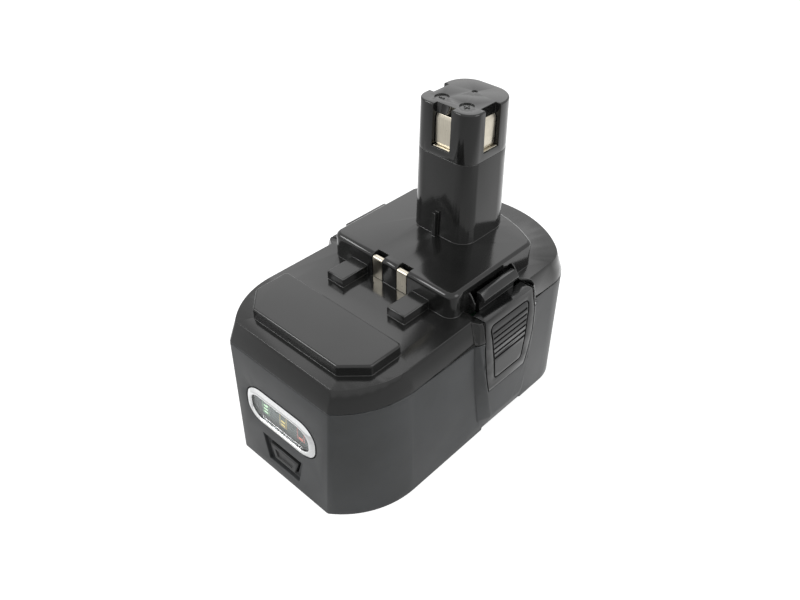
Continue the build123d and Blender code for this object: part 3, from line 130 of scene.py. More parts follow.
# %% [markdown]
# ## Floor, backdrop and light
#
# Black plastic has almost no colour of its own: what the eye reads is the
# white paper and the lamps mirrored in it. So the pack stands on a white
# floor inside a white world, and the lamps stay at a plain level. Light Path
# tells the floor that a camera or a mirror is looking, and then it adds the
# share that lifts it to paper white, while its diffuse share still keeps a
# faint shadow. A studio is darker on the side where the photographer stands,
# and that is what gives black plastic its modelling: so the glow that mirrors
# see falls off over the floor towards that side, and again far out to the
# front left, by two ramps on the floor's own coordinates.

# %% Floor, world and lamps
FLOOR_SIZE = 6.0
FLOOR_GLOW = 0.78
FLOOR_TONE = 0.62
FLOOR_ROUGHNESS = 0.9
FLOOR_DROP = 0.00002
FLOOR_BRIGHT_SIDE = (-0.72, 0.69, 0.0)
FLOOR_BRIGHT_FROM, FLOOR_BRIGHT_TO = -0.10, 0.06
FLOOR_MIRROR_BRIGHT, FLOOR_MIRROR_DARK = 0.95, 0.10
FLOOR_FAR_SIDE = (-0.69, -0.72, 0.0)
FLOOR_FAR_FROM, FLOOR_FAR_TO, FLOOR_FAR_SHARE = 0.105, 0.150, 0.35
WORLD_FILL = 0.55
WHITE = (1, 1, 1, 1)


def calculate(tree, operation, first, second):
    """Output of a Math node that joins a socket with a second socket or a plain number."""
    node = tree.nodes.new("ShaderNodeMath")
    node.operation = operation
    tree.links.new(first, node.inputs[0])
    if isinstance(second, float):
        node.inputs[1].default_value = second
    else:
        tree.links.new(second, node.inputs[1])
    return node.outputs[0]


def fall_along(tree, place, direction, low, high, out_low, out_high):
    """Value that runs from out_low to out_high as place . direction runs from low to high."""
    along = tree.nodes.new("ShaderNodeVectorMath")
    along.operation = "DOT_PRODUCT"
    along.inputs[1].default_value = direction
    tree.links.new(place, along.inputs[0])
    ramp = tree.nodes.new("ShaderNodeMapRange")
    for number, amount in enumerate((low, high, out_low, out_high), start=1):
        ramp.inputs[number].default_value = amount
    tree.links.new(along.outputs["Value"], ramp.inputs[0])
    return ramp.outputs[0]


def make_paper():
    """Paper whose glow is plain for the camera and uneven for mirrors."""
    paper = bpy.data.materials.new("floor_paper")
    paper.use_nodes = True
    tree = paper.node_tree
    shader = tree.nodes["Principled BSDF"]
    shader.inputs["Base Color"].default_value = (FLOOR_TONE, FLOOR_TONE, FLOOR_TONE, 1)
    shader.inputs["Roughness"].default_value = FLOOR_ROUGHNESS
    shader.inputs["Specular IOR Level"].default_value = 0.0
    shader.inputs["Emission Color"].default_value = WHITE
    path = tree.nodes.new("ShaderNodeLightPath")
    place = tree.nodes.new("ShaderNodeTexCoord").outputs["Object"]
    seen = calculate(tree, "MAXIMUM", path.outputs["Is Camera Ray"],
                     path.outputs["Is Transmission Ray"])
    direct = calculate(tree, "MULTIPLY", seen, FLOOR_GLOW)
    near = fall_along(tree, place, FLOOR_BRIGHT_SIDE, FLOOR_BRIGHT_FROM, FLOOR_BRIGHT_TO,
                      FLOOR_MIRROR_DARK, FLOOR_MIRROR_BRIGHT)
    far = fall_along(tree, place, FLOOR_FAR_SIDE, FLOOR_FAR_FROM, FLOOR_FAR_TO, 1.0,
                     FLOOR_FAR_SHARE)
    uneven = calculate(tree, "MULTIPLY", near, far)
    mirrored = calculate(tree, "MULTIPLY", path.outputs["Is Glossy Ray"], uneven)
    glow = calculate(tree, "MAXIMUM", direct, mirrored)
    tree.links.new(glow, shader.inputs["Emission Strength"])
    return paper


def make_floor():
    """Square plane just under the base, pale and nearly shadowless."""
    half = FLOOR_SIZE / 2
    corners = [(-half, -half, -FLOOR_DROP), (half, -half, -FLOOR_DROP), (half, half, -FLOOR_DROP),
               (-half, half, -FLOOR_DROP)]
    mesh = bpy.data.meshes.new("floor")
    mesh.from_pydata(corners, [], [(0, 1, 2, 3)])
    floor = bpy.data.objects.new("floor", mesh)
    bpy.context.scene.collection.objects.link(floor)
    mesh.materials.append(make_paper())


def make_world():
    """White world: full strength for camera, mirrors and glass, less for soft fill light."""
    world = bpy.data.worlds.new("white_tent")
    world.use_nodes = True
    bpy.context.scene.world = world
    tree = world.node_tree
    tree.nodes.clear()
    fill = tree.nodes.new("ShaderNodeBackground")
    fill.inputs["Strength"].default_value = WORLD_FILL
    seen = tree.nodes.new("ShaderNodeBackground")
    for background in (fill, seen):
        background.inputs["Color"].default_value = WHITE
    path = tree.nodes.new("ShaderNodeLightPath")
    either = calculate(tree, "MAXIMUM", path.outputs["Is Camera Ray"],
                       path.outputs["Is Glossy Ray"])
    any_view = calculate(tree, "MAXIMUM", either, path.outputs["Is Transmission Ray"])
    mix = tree.nodes.new("ShaderNodeMixShader")
    tree.links.new(any_view, mix.inputs[0])
    tree.links.new(fill.outputs[0], mix.inputs[1])
    tree.links.new(seen.outputs[0], mix.inputs[2])
    out = tree.nodes.new("ShaderNodeOutputWorld")
    tree.links.new(mix.outputs[0], out.inputs["Surface"])


def make_softbox(name, place, size, power):
    """Rectangular area lamp that looks from its place at the middle of the pack."""
    data = bpy.data.lights.new(name, "AREA")
    data.shape = "RECTANGLE"
    data.size, data.size_y = size
    data.energy = power
    lamp = bpy.data.objects.new(name, data)
    bpy.context.scene.collection.objects.link(lamp)
    lamp.location = place
    lamp.rotation_euler = (PACK_MIDDLE - Vector(place)).to_track_quat("-Z", "Y").to_euler()


PACK_MIDDLE = Vector((0, 0, 0.05))
# Each row: name, place, size, power.
LAMPS = (
    ("lamp_front_left", (-0.50, -0.56, 0.60), (0.34, 0.24), 2.3),
    ("lamp_right", (0.65, 0.15, 0.45), (0.4, 0.5), 1.5),
    ("lamp_behind", (-0.55, 0.57, 0.70), (0.70, 0.70), 1.3),
)
make_floor()
make_world()
for name, place, size, power in LAMPS:
    make_softbox(name, place, size, power)
bpy.context.scene.view_settings.view_transform = "Standard"
print("lamps:", [row[0] for row in LAMPS])

# %% [markdown]
# ## A small kit for finishes
#
# Each finish is a node tree that reads Object coordinates, so its grain has a
# real size in metres. A few helpers cover most of it: a noise of a given size,
# scattered points, a ramp between two values, a blend of two colours, clouds
# of two tones, roughness, a bump, and a measure of how much an edge is rounded.
# The constants of a finish go straight on the shader's own sockets.

# %% Shader helpers
# How many octaves of detail a noise has.
WAVY, PLAIN, CLOUDY, FINE = 1.0, 2.0, 3.0, 4.0
# A Mix node has a pair of sockets for each kind of value; these are the colour ones.
MIX_FIRST, MIX_SECOND, MIX_RESULT = 6, 7, 2
CLOUD_LIMITS = (0.35, 0.65)
NOISE_LIMITS = (0.3, 0.7)
EDGE_SAMPLES = 4
# Where the edge mask starts; it lightens edges as wear and as a painted highlight.
EDGE_WEAR_AND_HIGHLIGHT_COSINE = 0.82


class Finish:
    """A material under construction, with its shader and its Object coordinates."""

    def __init__(self, name):
        self.material = bpy.data.materials.new(name)
        self.material.use_nodes = True
        self.tree = self.material.node_tree
        self.shader = self.tree.nodes["Principled BSDF"]
        self.place = self.tree.nodes.new("ShaderNodeTexCoord").outputs["Object"]

    def set(self, **values):
        """Put constants on the shader's sockets; a name's underscores stand for spaces."""
        for name, value in values.items():
            self.shader.inputs[name.replace("_", " ")].default_value = value

    def link(self, output, socket):
        """Join an output to a named socket of the shader."""
        self.tree.links.new(output, self.shader.inputs[socket])

    def noise(self, grain, detail=PLAIN, shrink=(1, 1, 1)):
        """Noise with spots about one grain across, divided along each axis by its shrink."""
        mapping = self.tree.nodes.new("ShaderNodeMapping")
        mapping.inputs["Scale"].default_value = shrink
        self.tree.links.new(self.place, mapping.inputs["Vector"])
        node = self.tree.nodes.new("ShaderNodeTexNoise")
        node.inputs["Scale"].default_value = 1 / grain
        node.inputs["Detail"].default_value = detail
        self.tree.links.new(mapping.outputs[0], node.inputs["Vector"])
        return node.outputs["Fac"]

    def spots(self, cell):
        """Distance to the nearest of scattered points, one to a cell."""
        node = self.tree.nodes.new("ShaderNodeTexVoronoi")
        node.inputs["Scale"].default_value = 1 / cell
        self.tree.links.new(self.place, node.inputs["Vector"])
        return node.outputs["Distance"]

    def range(self, value, low, high, out_low, out_high):
        """Value from low..high carried to out_low..out_high, and held there outside."""
        node = self.tree.nodes.new("ShaderNodeMapRange")
        for number, amount in enumerate((low, high, out_low, out_high), start=1):
            node.inputs[number].default_value = amount
        self.tree.links.new(value, node.inputs[0])
        return node.outputs[0]

    def blend(self, value, first, second):
        """Colour between two, or between a socket and a colour, by a value from 0 to 1."""
        node = self.tree.nodes.new("ShaderNodeMix")
        node.data_type = "RGBA"
        self.tree.links.new(value, node.inputs["Factor"])
        for number, colour in ((MIX_FIRST, first), (MIX_SECOND, second)):
            if isinstance(colour, tuple):
                node.inputs[number].default_value = (*colour, 1)
            else:
                self.tree.links.new(colour, node.inputs[number])
        return node.outputs[MIX_RESULT]

    def clouds(self, grain, dark, light, detail=CLOUDY, shrink=(1, 1, 1)):
        """Colour that drifts between two tones, in clouds about one grain across."""
        share = self.range(self.noise(grain, detail, shrink), *CLOUD_LIMITS, 0.0, 1.0)
        return self.blend(share, dark, light)

    def roughen(self, value, gloss, limits=NOISE_LIMITS):
        """Roughness over the gloss range, as a value goes from its low to its high limit."""
        self.link(self.range(value, *limits, *gloss), "Roughness")

    def bump(self, height, depth):
        """Tilt the shader's normal by a height, up to a depth in metres."""
        node = self.tree.nodes.new("ShaderNodeBump")
        node.inputs["Distance"].default_value = depth
        node.inputs["Strength"].default_value = 1.0
        self.tree.links.new(height, node.inputs["Height"])
        self.link(node.outputs[0], "Normal")

    def edge_wear_and_highlight(self, radius):
        """How much a rounded edge turns away from its face: 0 on flats, more on edges."""
        soft = self.tree.nodes.new("ShaderNodeBevel")
        soft.samples = EDGE_SAMPLES
        soft.inputs["Radius"].default_value = radius
        plain = self.tree.nodes.new("ShaderNodeNewGeometry")
        dot = self.tree.nodes.new("ShaderNodeVectorMath")
        dot.operation = "DOT_PRODUCT"
        self.tree.links.new(soft.outputs[0], dot.inputs[0])
        self.tree.links.new(plain.outputs["Normal"], dot.inputs[1])
        return self.range(dot.outputs["Value"], 1.0, EDGE_WEAR_AND_HIGHLIGHT_COSINE, 0.0, 1.0)


print("shader kit ready")

# %% [markdown]
# ## Moulded plastics
#
# The lower case is a satin black, spark-eroded in the mould so that it has a
# fine grain. The cover, the stem and the latches come from more polished tools
# and mirror more. Every plastic of the pack shares one recipe: two close tones
# in slow clouds, flow marks in its roughness, a fine grain in its bump, lighter
# edges that are partly wear from hands and tools and partly a painted
# highlight, and some specks of dust. Only the numbers differ from one plastic
# to the next.

# %% Plastics
CLOUD_SIZE, FLOW_SIZE, RUB_AND_HIGHLIGHT_SIZE = 22 * MM, 30 * MM, 4 * MM
FLOW_SHRINK = (1, 1, 0.45)
RUB_AND_HIGHLIGHT_LIMITS, RUB_AND_HIGHLIGHT_SHARES = (0.4, 0.7), (0.25, 1.0)
EDGE_WIDTH = 0.5 * MM
DUST_SPACING, DUST_SPECK, DUST_TONE = 6.5 * MM, 0.012, (0.16, 0.16, 0.15)
PLASTIC_IOR = 1.5

# Each row: name, dark tone, light tone, gloss range, grain, grain depth, edge tone;
# the edge tone is partly wear and partly a painted highlight.
PLASTICS = {
    "case_plastic": ("satin_case", (0.036, 0.038, 0.039), (0.047, 0.050, 0.052),
                     (0.38, 0.48), 0.35 * MM, 0.010 * MM, (0.085, 0.088, 0.088)),
    "cover_plastic": ("gloss_cover", (0.010, 0.0102, 0.010), (0.015, 0.0153, 0.0148),
                      (0.11, 0.19), 0.60 * MM, 0.003 * MM, (0.060, 0.060, 0.057)),
    "latch_plastic": ("latch_satin", (0.009, 0.0094, 0.0094), (0.013, 0.0134, 0.0134),
                      (0.12, 0.21), 0.45 * MM, 0.006 * MM, (0.070, 0.071, 0.070)),
    "dark_plastic": ("component_black", (0.010, 0.010, 0.010), (0.016, 0.016, 0.016),
                     (0.35, 0.50), 0.30 * MM, 0.008 * MM, (0.04, 0.04, 0.04)),
    "holder_plastic": ("holder_black", (0.022, 0.022, 0.024), (0.032, 0.032, 0.034),
                       (0.45, 0.60), 0.40 * MM, 0.012 * MM, (0.06, 0.06, 0.06)),
    "white_plastic": ("white_moulding", (0.62, 0.62, 0.60), (0.70, 0.70, 0.67),
                      (0.35, 0.50), 0.40 * MM, 0.008 * MM, (0.75, 0.75, 0.72)),
}
BUTTON_ROW = ("button_black", (0.016, 0.017, 0.017), (0.022, 0.023, 0.023),
              (0.34, 0.44), 0.35 * MM, 0.008 * MM, (0.050, 0.051, 0.051))


def moulded_plastic(name, dark, light, gloss, grain, grain_depth, edge_wear_and_highlight_tone):
    """Plastic: tone = clouds of dark and light, roughness = gloss range over flow marks."""
    f = Finish(name)
    # Lighter edges: partly wear from hands and tools, partly a painted highlight on the rounding,
    # broken into streaks.
    streaks = f.range(f.noise(RUB_AND_HIGHLIGHT_SIZE, FINE), *RUB_AND_HIGHLIGHT_LIMITS, *RUB_AND_HIGHLIGHT_SHARES)
    rubbed_and_highlit = calculate(f.tree, "MULTIPLY", f.edge_wear_and_highlight(EDGE_WIDTH), streaks)
    tone = f.blend(rubbed_and_highlit, f.clouds(CLOUD_SIZE, dark, light), edge_wear_and_highlight_tone)
    dust = f.range(f.spots(DUST_SPACING), DUST_SPECK, 0.0, 0.0, 1.0)
    f.link(f.blend(dust, tone, DUST_TONE), "Base Color")
    f.roughen(f.noise(FLOW_SIZE, CLOUDY, FLOW_SHRINK), gloss)
    f.bump(f.noise(grain), grain_depth)
    f.set(IOR=PLASTIC_IOR)
    return f.material


finishes = {slot: moulded_plastic(*row) for slot, row in PLASTICS.items()}
button_plastic = moulded_plastic(*BUTTON_ROW)
print("plastics:", len(finishes) + 1)

# %% [markdown]
# ## Metals
#
# Nickel is a warm pale metal, rolled along the strip, so its tone and relief
# have long streaks. The pins, springs and screws are plain steel. The gauge
# ring is bright plating, with almost no relief.

# %% Metals
STREAK_SIZE, STAIN_SIZE = 0.6 * MM, 3 * MM
STAIN_LIMITS = (0.3, 0.75)

# Each row: name, dark tone, light tone, gloss range, shrink of the streaks, relief.
METALS = {
    "nickel": ("nickel_sheet", (0.52, 0.480, 0.395), (0.64, 0.60, 0.505), (0.26, 0.38),
               (3, 3, 0.15), 0.0006 * MM),
    "steel": ("plain_steel", (0.42, 0.42, 0.43), (0.60, 0.60, 0.61), (0.22, 0.36),
              (1, 0.2, 1), 0.0006 * MM),
    "chrome_trim": ("bright_plating", (0.80, 0.81, 0.81), (0.90, 0.91, 0.91), (0.07, 0.14),
                    (1, 1, 1), 0.00005 * MM),
}


def rolled_metal(name, dark, light, gloss, shrink, relief):
    """Metal: tone and bump = fine streaks along the rolling, roughness = gloss over stains."""
    f = Finish(name)
    streaks = f.noise(STREAK_SIZE, FINE, shrink)
    f.link(f.blend(f.range(streaks, *NOISE_LIMITS, 0.0, 1.0), dark, light), "Base Color")
    f.roughen(f.noise(STAIN_SIZE, CLOUDY), gloss, STAIN_LIMITS)
    f.bump(streaks, relief)
    f.set(Metallic=1.0)
    return f.material


finishes.update((slot, rolled_metal(*row)) for slot, row in METALS.items())
print("metals:", list(METALS))

# %% [markdown]
# ## Sleeves, paint and boards
#
# The cells wear shrink sleeves, the boards a green resist, and the diodes,
# leads and the gauge's plate a smooth skin too. All of them are a slow change
# of tone under a soft gloss, with the faint orange peel of a shrunk film.

# %% Sleeves and paint
SLEEVE_GRAIN, SLEEVE_GLOSS_GRAIN, SLEEVE_GLOSS_SPREAD = 12 * MM, 4 * MM, 0.12
PEEL_SIZE, PEEL_DEPTH = 1.2 * MM, 0.008 * MM

# Each row: name, dark tone, light tone, lowest roughness.
SLEEVES = {
    "icon_plate": ("printed_grey", (0.045, 0.047, 0.047), (0.056, 0.059, 0.058), 0.40),
    "board": ("board_green", (0.006, 0.040, 0.016), (0.012, 0.065, 0.026), 0.28),
    "green_light": ("diode_green", (0.10, 0.45, 0.13), (0.20, 0.62, 0.22), 0.12),
    "amber_light": ("diode_amber", (0.70, 0.35, 0.03), (0.85, 0.50, 0.08), 0.12),
    "red_light": ("diode_red", (0.55, 0.03, 0.02), (0.75, 0.07, 0.05), 0.12),
    "capacitor_sleeve": ("capacitor_blue", (0.02, 0.03, 0.09), (0.03, 0.05, 0.13), 0.20),
    "lead_sleeve": ("lead_red", (0.42, 0.03, 0.02), (0.55, 0.05, 0.03), 0.35),
    "bead": ("bead_lacquer", (0.16, 0.03, 0.02), (0.24, 0.05, 0.03), 0.15),
    "cell_sleeve": ("cell_blue", (0.03, 0.10, 0.26), (0.05, 0.14, 0.34), 0.22),
}


def sleeved(name, dark, light, gloss):
    """Sleeve or paint: clouds of two tones, a soft gloss and a faint orange peel."""
    f = Finish(name)
    f.link(f.clouds(SLEEVE_GRAIN, dark, light), "Base Color")
    f.roughen(f.noise(SLEEVE_GLOSS_GRAIN), (gloss, gloss + SLEEVE_GLOSS_SPREAD))
    f.bump(f.noise(PEEL_SIZE), PEEL_DEPTH)
    return f.material


finishes.update((slot, sleeved(*row)) for slot, row in SLEEVES.items())
print("sleeves and paint:", len(SLEEVES))

# %% [markdown]
# ## The lens and the inks behind it
#
# The lens is clear and very smooth, so that the small signs behind it stay
# sharp. The signs are translucent ink over a light: each has its colour and
# gives off a little light of the same colour.

# %% Lens and inks
LENS_TINT, LENS_IOR = (0.90, 0.96, 0.95, 1), 1.32
WIPE_SIZE, WIPE_SHRINK = 4 * MM, (1, 1, 4)
WIPE_LIMITS, WIPE_GLOSS = (0.4, 0.7), (0.0, 0.015)
LENS_WAVE, LENS_WAVE_DEPTH = 6 * MM, 0.0015 * MM
INK_GRAIN, INK_SHADE, INK_ROUGHNESS = 1.5 * MM, 0.85, 0.4

# Each row: colour, strength of its own light.
INKS = {
    "green_line": ((0.26, 0.46, 0.26), 0.10),
    "green_bar": ((0.72, 0.96, 0.66), 0.50),
    "amber_line": ((0.60, 0.42, 0.14), 0.20),
    "amber_bar": ((0.86, 0.62, 0.18), 0.45),
    "red_line": ((0.62, 0.16, 0.14), 0.20),
    "red_bar": ((0.85, 0.15, 0.09), 0.45),
}


def clear_acrylic(name):
    """Clear lens: full transmission, with faint wipe marks in its roughness."""
    f = Finish(name)
    f.set(Base_Color=LENS_TINT, Transmission_Weight=1.0, IOR=LENS_IOR)
    f.roughen(f.noise(WIPE_SIZE, FINE, WIPE_SHRINK), WIPE_GLOSS, WIPE_LIMITS)
    f.bump(f.noise(LENS_WAVE, WAVY), LENS_WAVE_DEPTH)
    return f.material


def lit_ink(name, colour, glow):
    """Translucent ink over a light: its colour, plus a little light of the same colour."""
    f = Finish(name)
    shade = tuple(INK_SHADE * part for part in colour)
    tone = f.clouds(INK_GRAIN, colour, shade, PLAIN)
    f.link(tone, "Base Color")
    f.link(tone, "Emission Color")
    f.set(Roughness=INK_ROUGHNESS, Emission_Strength=glow)
    return f.material


finishes["clear_lens"] = clear_acrylic("clear_acrylic")
inks = {key: lit_ink(f"ink_{key}", *row) for key, row in INKS.items()}
print("inks:", list(inks))

# %% [markdown]
# ## Fibre and foam
#
# The insulating sheets are pressed fibre: short fibres cross each other in
# tone and relief. The pad is foam: dark cells between lighter walls.

# %% Fibre and foam
FIBRE_SIZE, FIBRE_THIN, FIBRE_DEPTH, FIBRE_GLOSS = 0.8 * MM, 6, 0.04 * MM, (0.7, 0.9)
FIBRE_DARK, FIBRE_LIGHT = (0.42, 0.33, 0.19), (0.56, 0.46, 0.28)
FOAM_CELL, FOAM_DEPTH, FOAM_ROUGHNESS = 1.1 * MM, 0.2 * MM, 0.95
FOAM_DARK, FOAM_LIGHT, FOAM_LIMITS = (0.03, 0.03, 0.03), (0.14, 0.14, 0.14), (0.1, 0.6)


def fibre_board(name):
    """Pressed fibre: tone from upright fibres, roughness and bump from level ones."""
    f = Finish(name)
    upright = f.clouds(FIBRE_SIZE, FIBRE_DARK, FIBRE_LIGHT, FINE, (1, FIBRE_THIN, 1))
    f.link(upright, "Base Color")
    level = f.noise(FIBRE_SIZE, FINE, (1, 1, FIBRE_THIN))
    f.roughen(level, FIBRE_GLOSS)
    f.bump(level, FIBRE_DEPTH)
    return f.material


def open_foam(name):
    """Foam: dark cells between lighter walls, by the distance to scattered points."""
    f = Finish(name)
    cells = f.spots(FOAM_CELL)
    share = f.range(cells, *FOAM_LIMITS, 0.0, 1.0)
    f.link(f.blend(share, FOAM_DARK, FOAM_LIGHT), "Base Color")
    f.set(Roughness=FOAM_ROUGHNESS)
    f.bump(cells, FOAM_DEPTH)
    return f.material


finishes["fibre_sheet"] = fibre_board("pressed_fibre")
finishes["foam"] = open_foam("open_foam")
print("finishes:", len(finishes))

# %% [markdown]
# ## Every part gets its finish
#
# The frame's record says which material slot each part belongs to.

# %% Finishes on the parts
slot_of_node = {row["node"]: row["material_slot"] for row in frame["record"]["subparts"]}
for node, piece in frame["nodes"].items():
    piece.data.materials.clear()
    piece.data.materials.append(finishes[slot_of_node[node]])
print("parts with a finish:", len(slot_of_node))

# %% [markdown]
# ## New pieces
#
# A new piece stays in the frame's own place, rides on a body and has a material
# slot. The parts of the frame themselves are never changed.

# %% New pieces


def add_piece(name, mesh, body, slot, finish=None):
    """New object for a mesh in the frame's own place, riding on a body."""
    piece = bpy.data.objects.new(name, mesh)
    bpy.context.scene.collection.objects.link(piece)
    if not mesh.materials:
        mesh.materials.append(finish or finishes[slot])
    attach(piece, body)
    return piece


print("pieces can be added")

# %% [markdown]
# ## The seam and the gauge's pocket
#
# Most solids already have the right walls, pockets and slots, and rebuilding
# them by formula would only repeat what they say. Two places differ a little
# on the copies of the case and the cover. The seam between them is tight in
# front and opens towards the latches, so each rim is drawn back by a share
# that grows with y. And the pocket of the charge gauge is less tall, so the
# heights in its wall are squeezed about its middle; the front face leans back
# a little, and its corners follow that lean.

# %% Seam and pocket
SEAM_HEIGHT, SEAM_TOLERANCE, SEAM_GAP = 50.4 * MM, 0.02 * MM, 0.25 * MM
SEAM_TIGHT, SEAM_OPEN, SEAM_LEAST = -62 * MM, -35 * MM, 0.25
GAUGE_SQUEEZE, GAUGE_LIFT = 0.85, 0.45 * MM
POCKET_CLEARANCE, POCKET_BACK_CLEARANCE, POCKET_WALL = 0.9 * MM, 0.225 * MM, 3.5 * MM
FRONT_OUTSET = 1.5 * MM
FRONT_LEAN = FRONT_OUTSET / SEAM_HEIGHT


def points_of(mesh):
    """Corner points of a mesh as an array."""
    points = np.empty(len(mesh.vertices) * 3)
    mesh.vertices.foreach_get("co", points)
    return points.reshape(-1, 3)


def part_rim(mesh, shift):
    """Move the rim at the seam by the shift: by a quarter of it in front, all of it behind.

    The share over the length is (y - tight) / (open - tight), held between a quarter and one.
    """
    points = points_of(mesh)
    rim = np.abs(points[:, 2] - SEAM_HEIGHT) < SEAM_TOLERANCE
    share = np.clip((points[rim, 1] - SEAM_TIGHT) / (SEAM_OPEN - SEAM_TIGHT), SEAM_LEAST, 1.0)
    points[rim, 2] += shift * share
    mesh.vertices.foreach_set("co", points.ravel())
    print("seam corners drawn back:", int(rim.sum()))


def lower_gauge_pocket(mesh):
    """Make the gauge's pocket less tall: its lift plus height above its middle times squeeze.

    Only the pocket's wall moves; corners in the leaning front face follow its lean.
    """
    points = points_of(mesh)
    low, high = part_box("gauge_bezel")
    middle = (low[2] + high[2]) / 2
    reach = [(b - a) / 2 + POCKET_CLEARANCE for a, b in zip(low, high)]
    over = points[:, 2] - middle
    inside = ((np.abs(points[:, 0]) < reach[0]) & (np.abs(over) < reach[2])
              & (points[:, 1] < high[1] + POCKET_BACK_CLEARANCE))
    wall = inside & ((np.abs(points[:, 0]) > reach[0] - POCKET_WALL)
                     | (np.abs(over) > reach[2] - POCKET_WALL))
    lifted = middle + GAUGE_LIFT + GAUGE_SQUEEZE * over[wall] - points[wall, 2]
    in_front = points[wall, 1] < (low[1] + high[1]) / 2
    points[wall, 1] += np.where(in_front, FRONT_LEAN * lifted, 0.0)
    points[wall, 2] += lifted
    mesh.vertices.foreach_set("co", points.ravel())
    print("pocket corners moved:", int(wall.sum()), "of", int(inside.sum()))


def reshape_case(mesh):
    """Lower the case's rim and make its gauge pocket less tall."""
    part_rim(mesh, -SEAM_GAP)
    lower_gauge_pocket(mesh)


def reshape_cover(mesh):
    """Raise the cover's rim."""
    part_rim(mesh, SEAM_GAP)


reshape = {"bottom_case": reshape_case, "top_cover": reshape_cover}
print("reshaped copies:", list(reshape))

# %% [markdown]
# ## Rounding the moulded housings
#
# No moulded edge is truly sharp: the steel that shapes it has a small radius,
# and that radius catches the light as a thin bright line. So a copy of each
# housing is welded, and a Bevel modifier rounds every edge that turns by more
# than the limit.

# %% Rounded copies
WELD = 1e-6
EDGE_TURN = math.radians(28)
ROUNDING_STEPS = 3

# Each row: name of the copy, width of its rounding.
HOUSINGS = {
    "bottom_case": ("lower_case_shell", 0.22 * MM),
    "top_cover": ("cover_shell", 0.18 * MM),
    "stem_cap": ("stem_head", 0.12 * MM),
    "latch_right": ("latch_lever_right", 0.10 * MM),
    "latch_left": ("latch_lever_left", 0.10 * MM),
    "test_button": ("button_cap", 0.18 * MM),
}


def weld(mesh, distance):
    """Merge the corners of a mesh that lie closer together than a distance."""
    work = bmesh.new()
    work.from_mesh(mesh)
    bmesh.ops.remove_doubles(work, verts=work.verts, dist=distance)
    work.to_mesh(mesh)
    work.free()


def welded_copy(node, name):
    """Copy of a node with its double corners merged, reshaped where that is asked for."""
    mesh = frame["nodes"][node].data.copy()
    mesh.name = name
    if node in reshape:
        reshape[node](mesh)
    weld(mesh, WELD)
    mesh.shade_smooth()
    piece = add_piece(name, mesh, frame["nodes"][node]["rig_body"], slot_of_node[node])
    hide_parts(node)
    return piece


def rounded_copy(node, name, width):
    """Welded copy of a node, with every edge that turns sharply rounded to a width."""
    piece = welded_copy(node, name)
    bevel = piece.modifiers.new("rounding", "BEVEL")
    bevel.width = width
    bevel.segments = ROUNDING_STEPS
    bevel.limit_method = "ANGLE"
    bevel.angle_limit = EDGE_TURN
    bevel.use_clamp_overlap = False
    bevel.loop_slide = False
    bevel.harden_normals = True
    return piece


for node, (name, width) in HOUSINGS.items():
    piece = rounded_copy(node, name, width)
    if node == "test_button":
        piece.data.materials[0] = button_plastic
    print(name, "faces:", len(piece.data.polygons))

# %% [markdown]
# ## Surfaces from arrays
#
# The ring, the lens, the printed icons and the terminal plates have a finer
# shape than their solids. Each is a profile carried round an outline or across
# a width: a grid of points worked out in one go as arrays, joined by quads.
# That keeps the formula in view, and a size is changed in one place.

# %% A grid of points becomes a mesh
SMOOTH_TURN = math.radians(40)
POLE_WELD = 1e-7


def grid_quads(rows, columns, ring):
    """Corner numbers of the quads between neighbours in a grid.

    Every row closes on itself, and where ring is true the last row joins the first too.
    """
    i, j = np.meshgrid(np.arange(rows if ring else rows - 1), np.arange(columns), indexing="ij")
    below, beside = (i + 1) % rows, (j + 1) % columns
    corners = (i * columns + j, below * columns + j, below * columns + beside,
               i * columns + beside)
    return np.stack(corners, axis=-1).reshape(-1, 4)


def outward(points, quads):
    """Turn the quads over if the volume that they enclose comes out negative.

    Six times that volume is the sum of a . (b x c) + a . (c x d) over their corners.
    """
    a, b, c, d = (points[quads[:, k]] for k in range(4))
    volume = np.einsum("ij,ij", a, np.cross(b, c)) + np.einsum("ij,ij", a, np.cross(c, d))
    return quads if volume > 0 else quads[:, ::-1]


def mesh_of_grids(name, grids):
    """One mesh of several closed surfaces; each is (points as rows x columns x 3, ring)."""
    all_points, all_quads, first = [], [], 0
    for points, ring in grids:
        rows, columns = points.shape[:2]
        flat = points.reshape(-1, 3)
        all_quads.append(outward(flat, grid_quads(rows, columns, ring)) + first)
        all_points.append(flat)
        first += len(flat)
    flat, quads = np.concatenate(all_points), np.concatenate(all_quads)
    mesh = bpy.data.meshes.new(name)
    mesh.vertices.add(len(flat))
    mesh.vertices.foreach_set("co", flat.astype(np.float32).ravel())
    mesh.loops.add(quads.size)
    mesh.loops.foreach_set("vertex_index", quads.astype(np.int32).ravel())
    mesh.polygons.add(len(quads))
    mesh.polygons.foreach_set("loop_start", np.arange(0, quads.size, 4, dtype=np.int32))
    mesh.update(calc_edges=True)
    weld(mesh, POLE_WELD)
    mesh.validate()
    mesh.shade_smooth()
    mesh.set_sharp_from_angle(angle=SMOOTH_TURN)
    return mesh


def placed(flat, x, depth, z):
    """Points as (row, column, xyz) of flat outlines, moved to x and z, with a depth as y."""
    points = np.empty((*flat.shape[:2], 3))
    points[..., 0] = flat[..., 0] + x
    points[..., 1] = depth
    points[..., 2] = flat[..., 1] + z
    return points


def round_outline(half_length, half_height, radius, count):
    """Corner centres and unit directions round a rounded rectangle, as two arrays.

    A unit vector makes one turn; each quarter of it belongs to one corner, and a point of
    the outline is its corner's centre plus the radius times the vector.
    """
    turn = (np.arange(count) + 0.5) * (2 * math.pi / count)
    unit = np.stack([np.cos(turn), np.sin(turn)], axis=-1)
    center = np.sign(unit) * np.array([half_length - radius, half_height - radius])
    return center, unit


print("surface helpers ready")

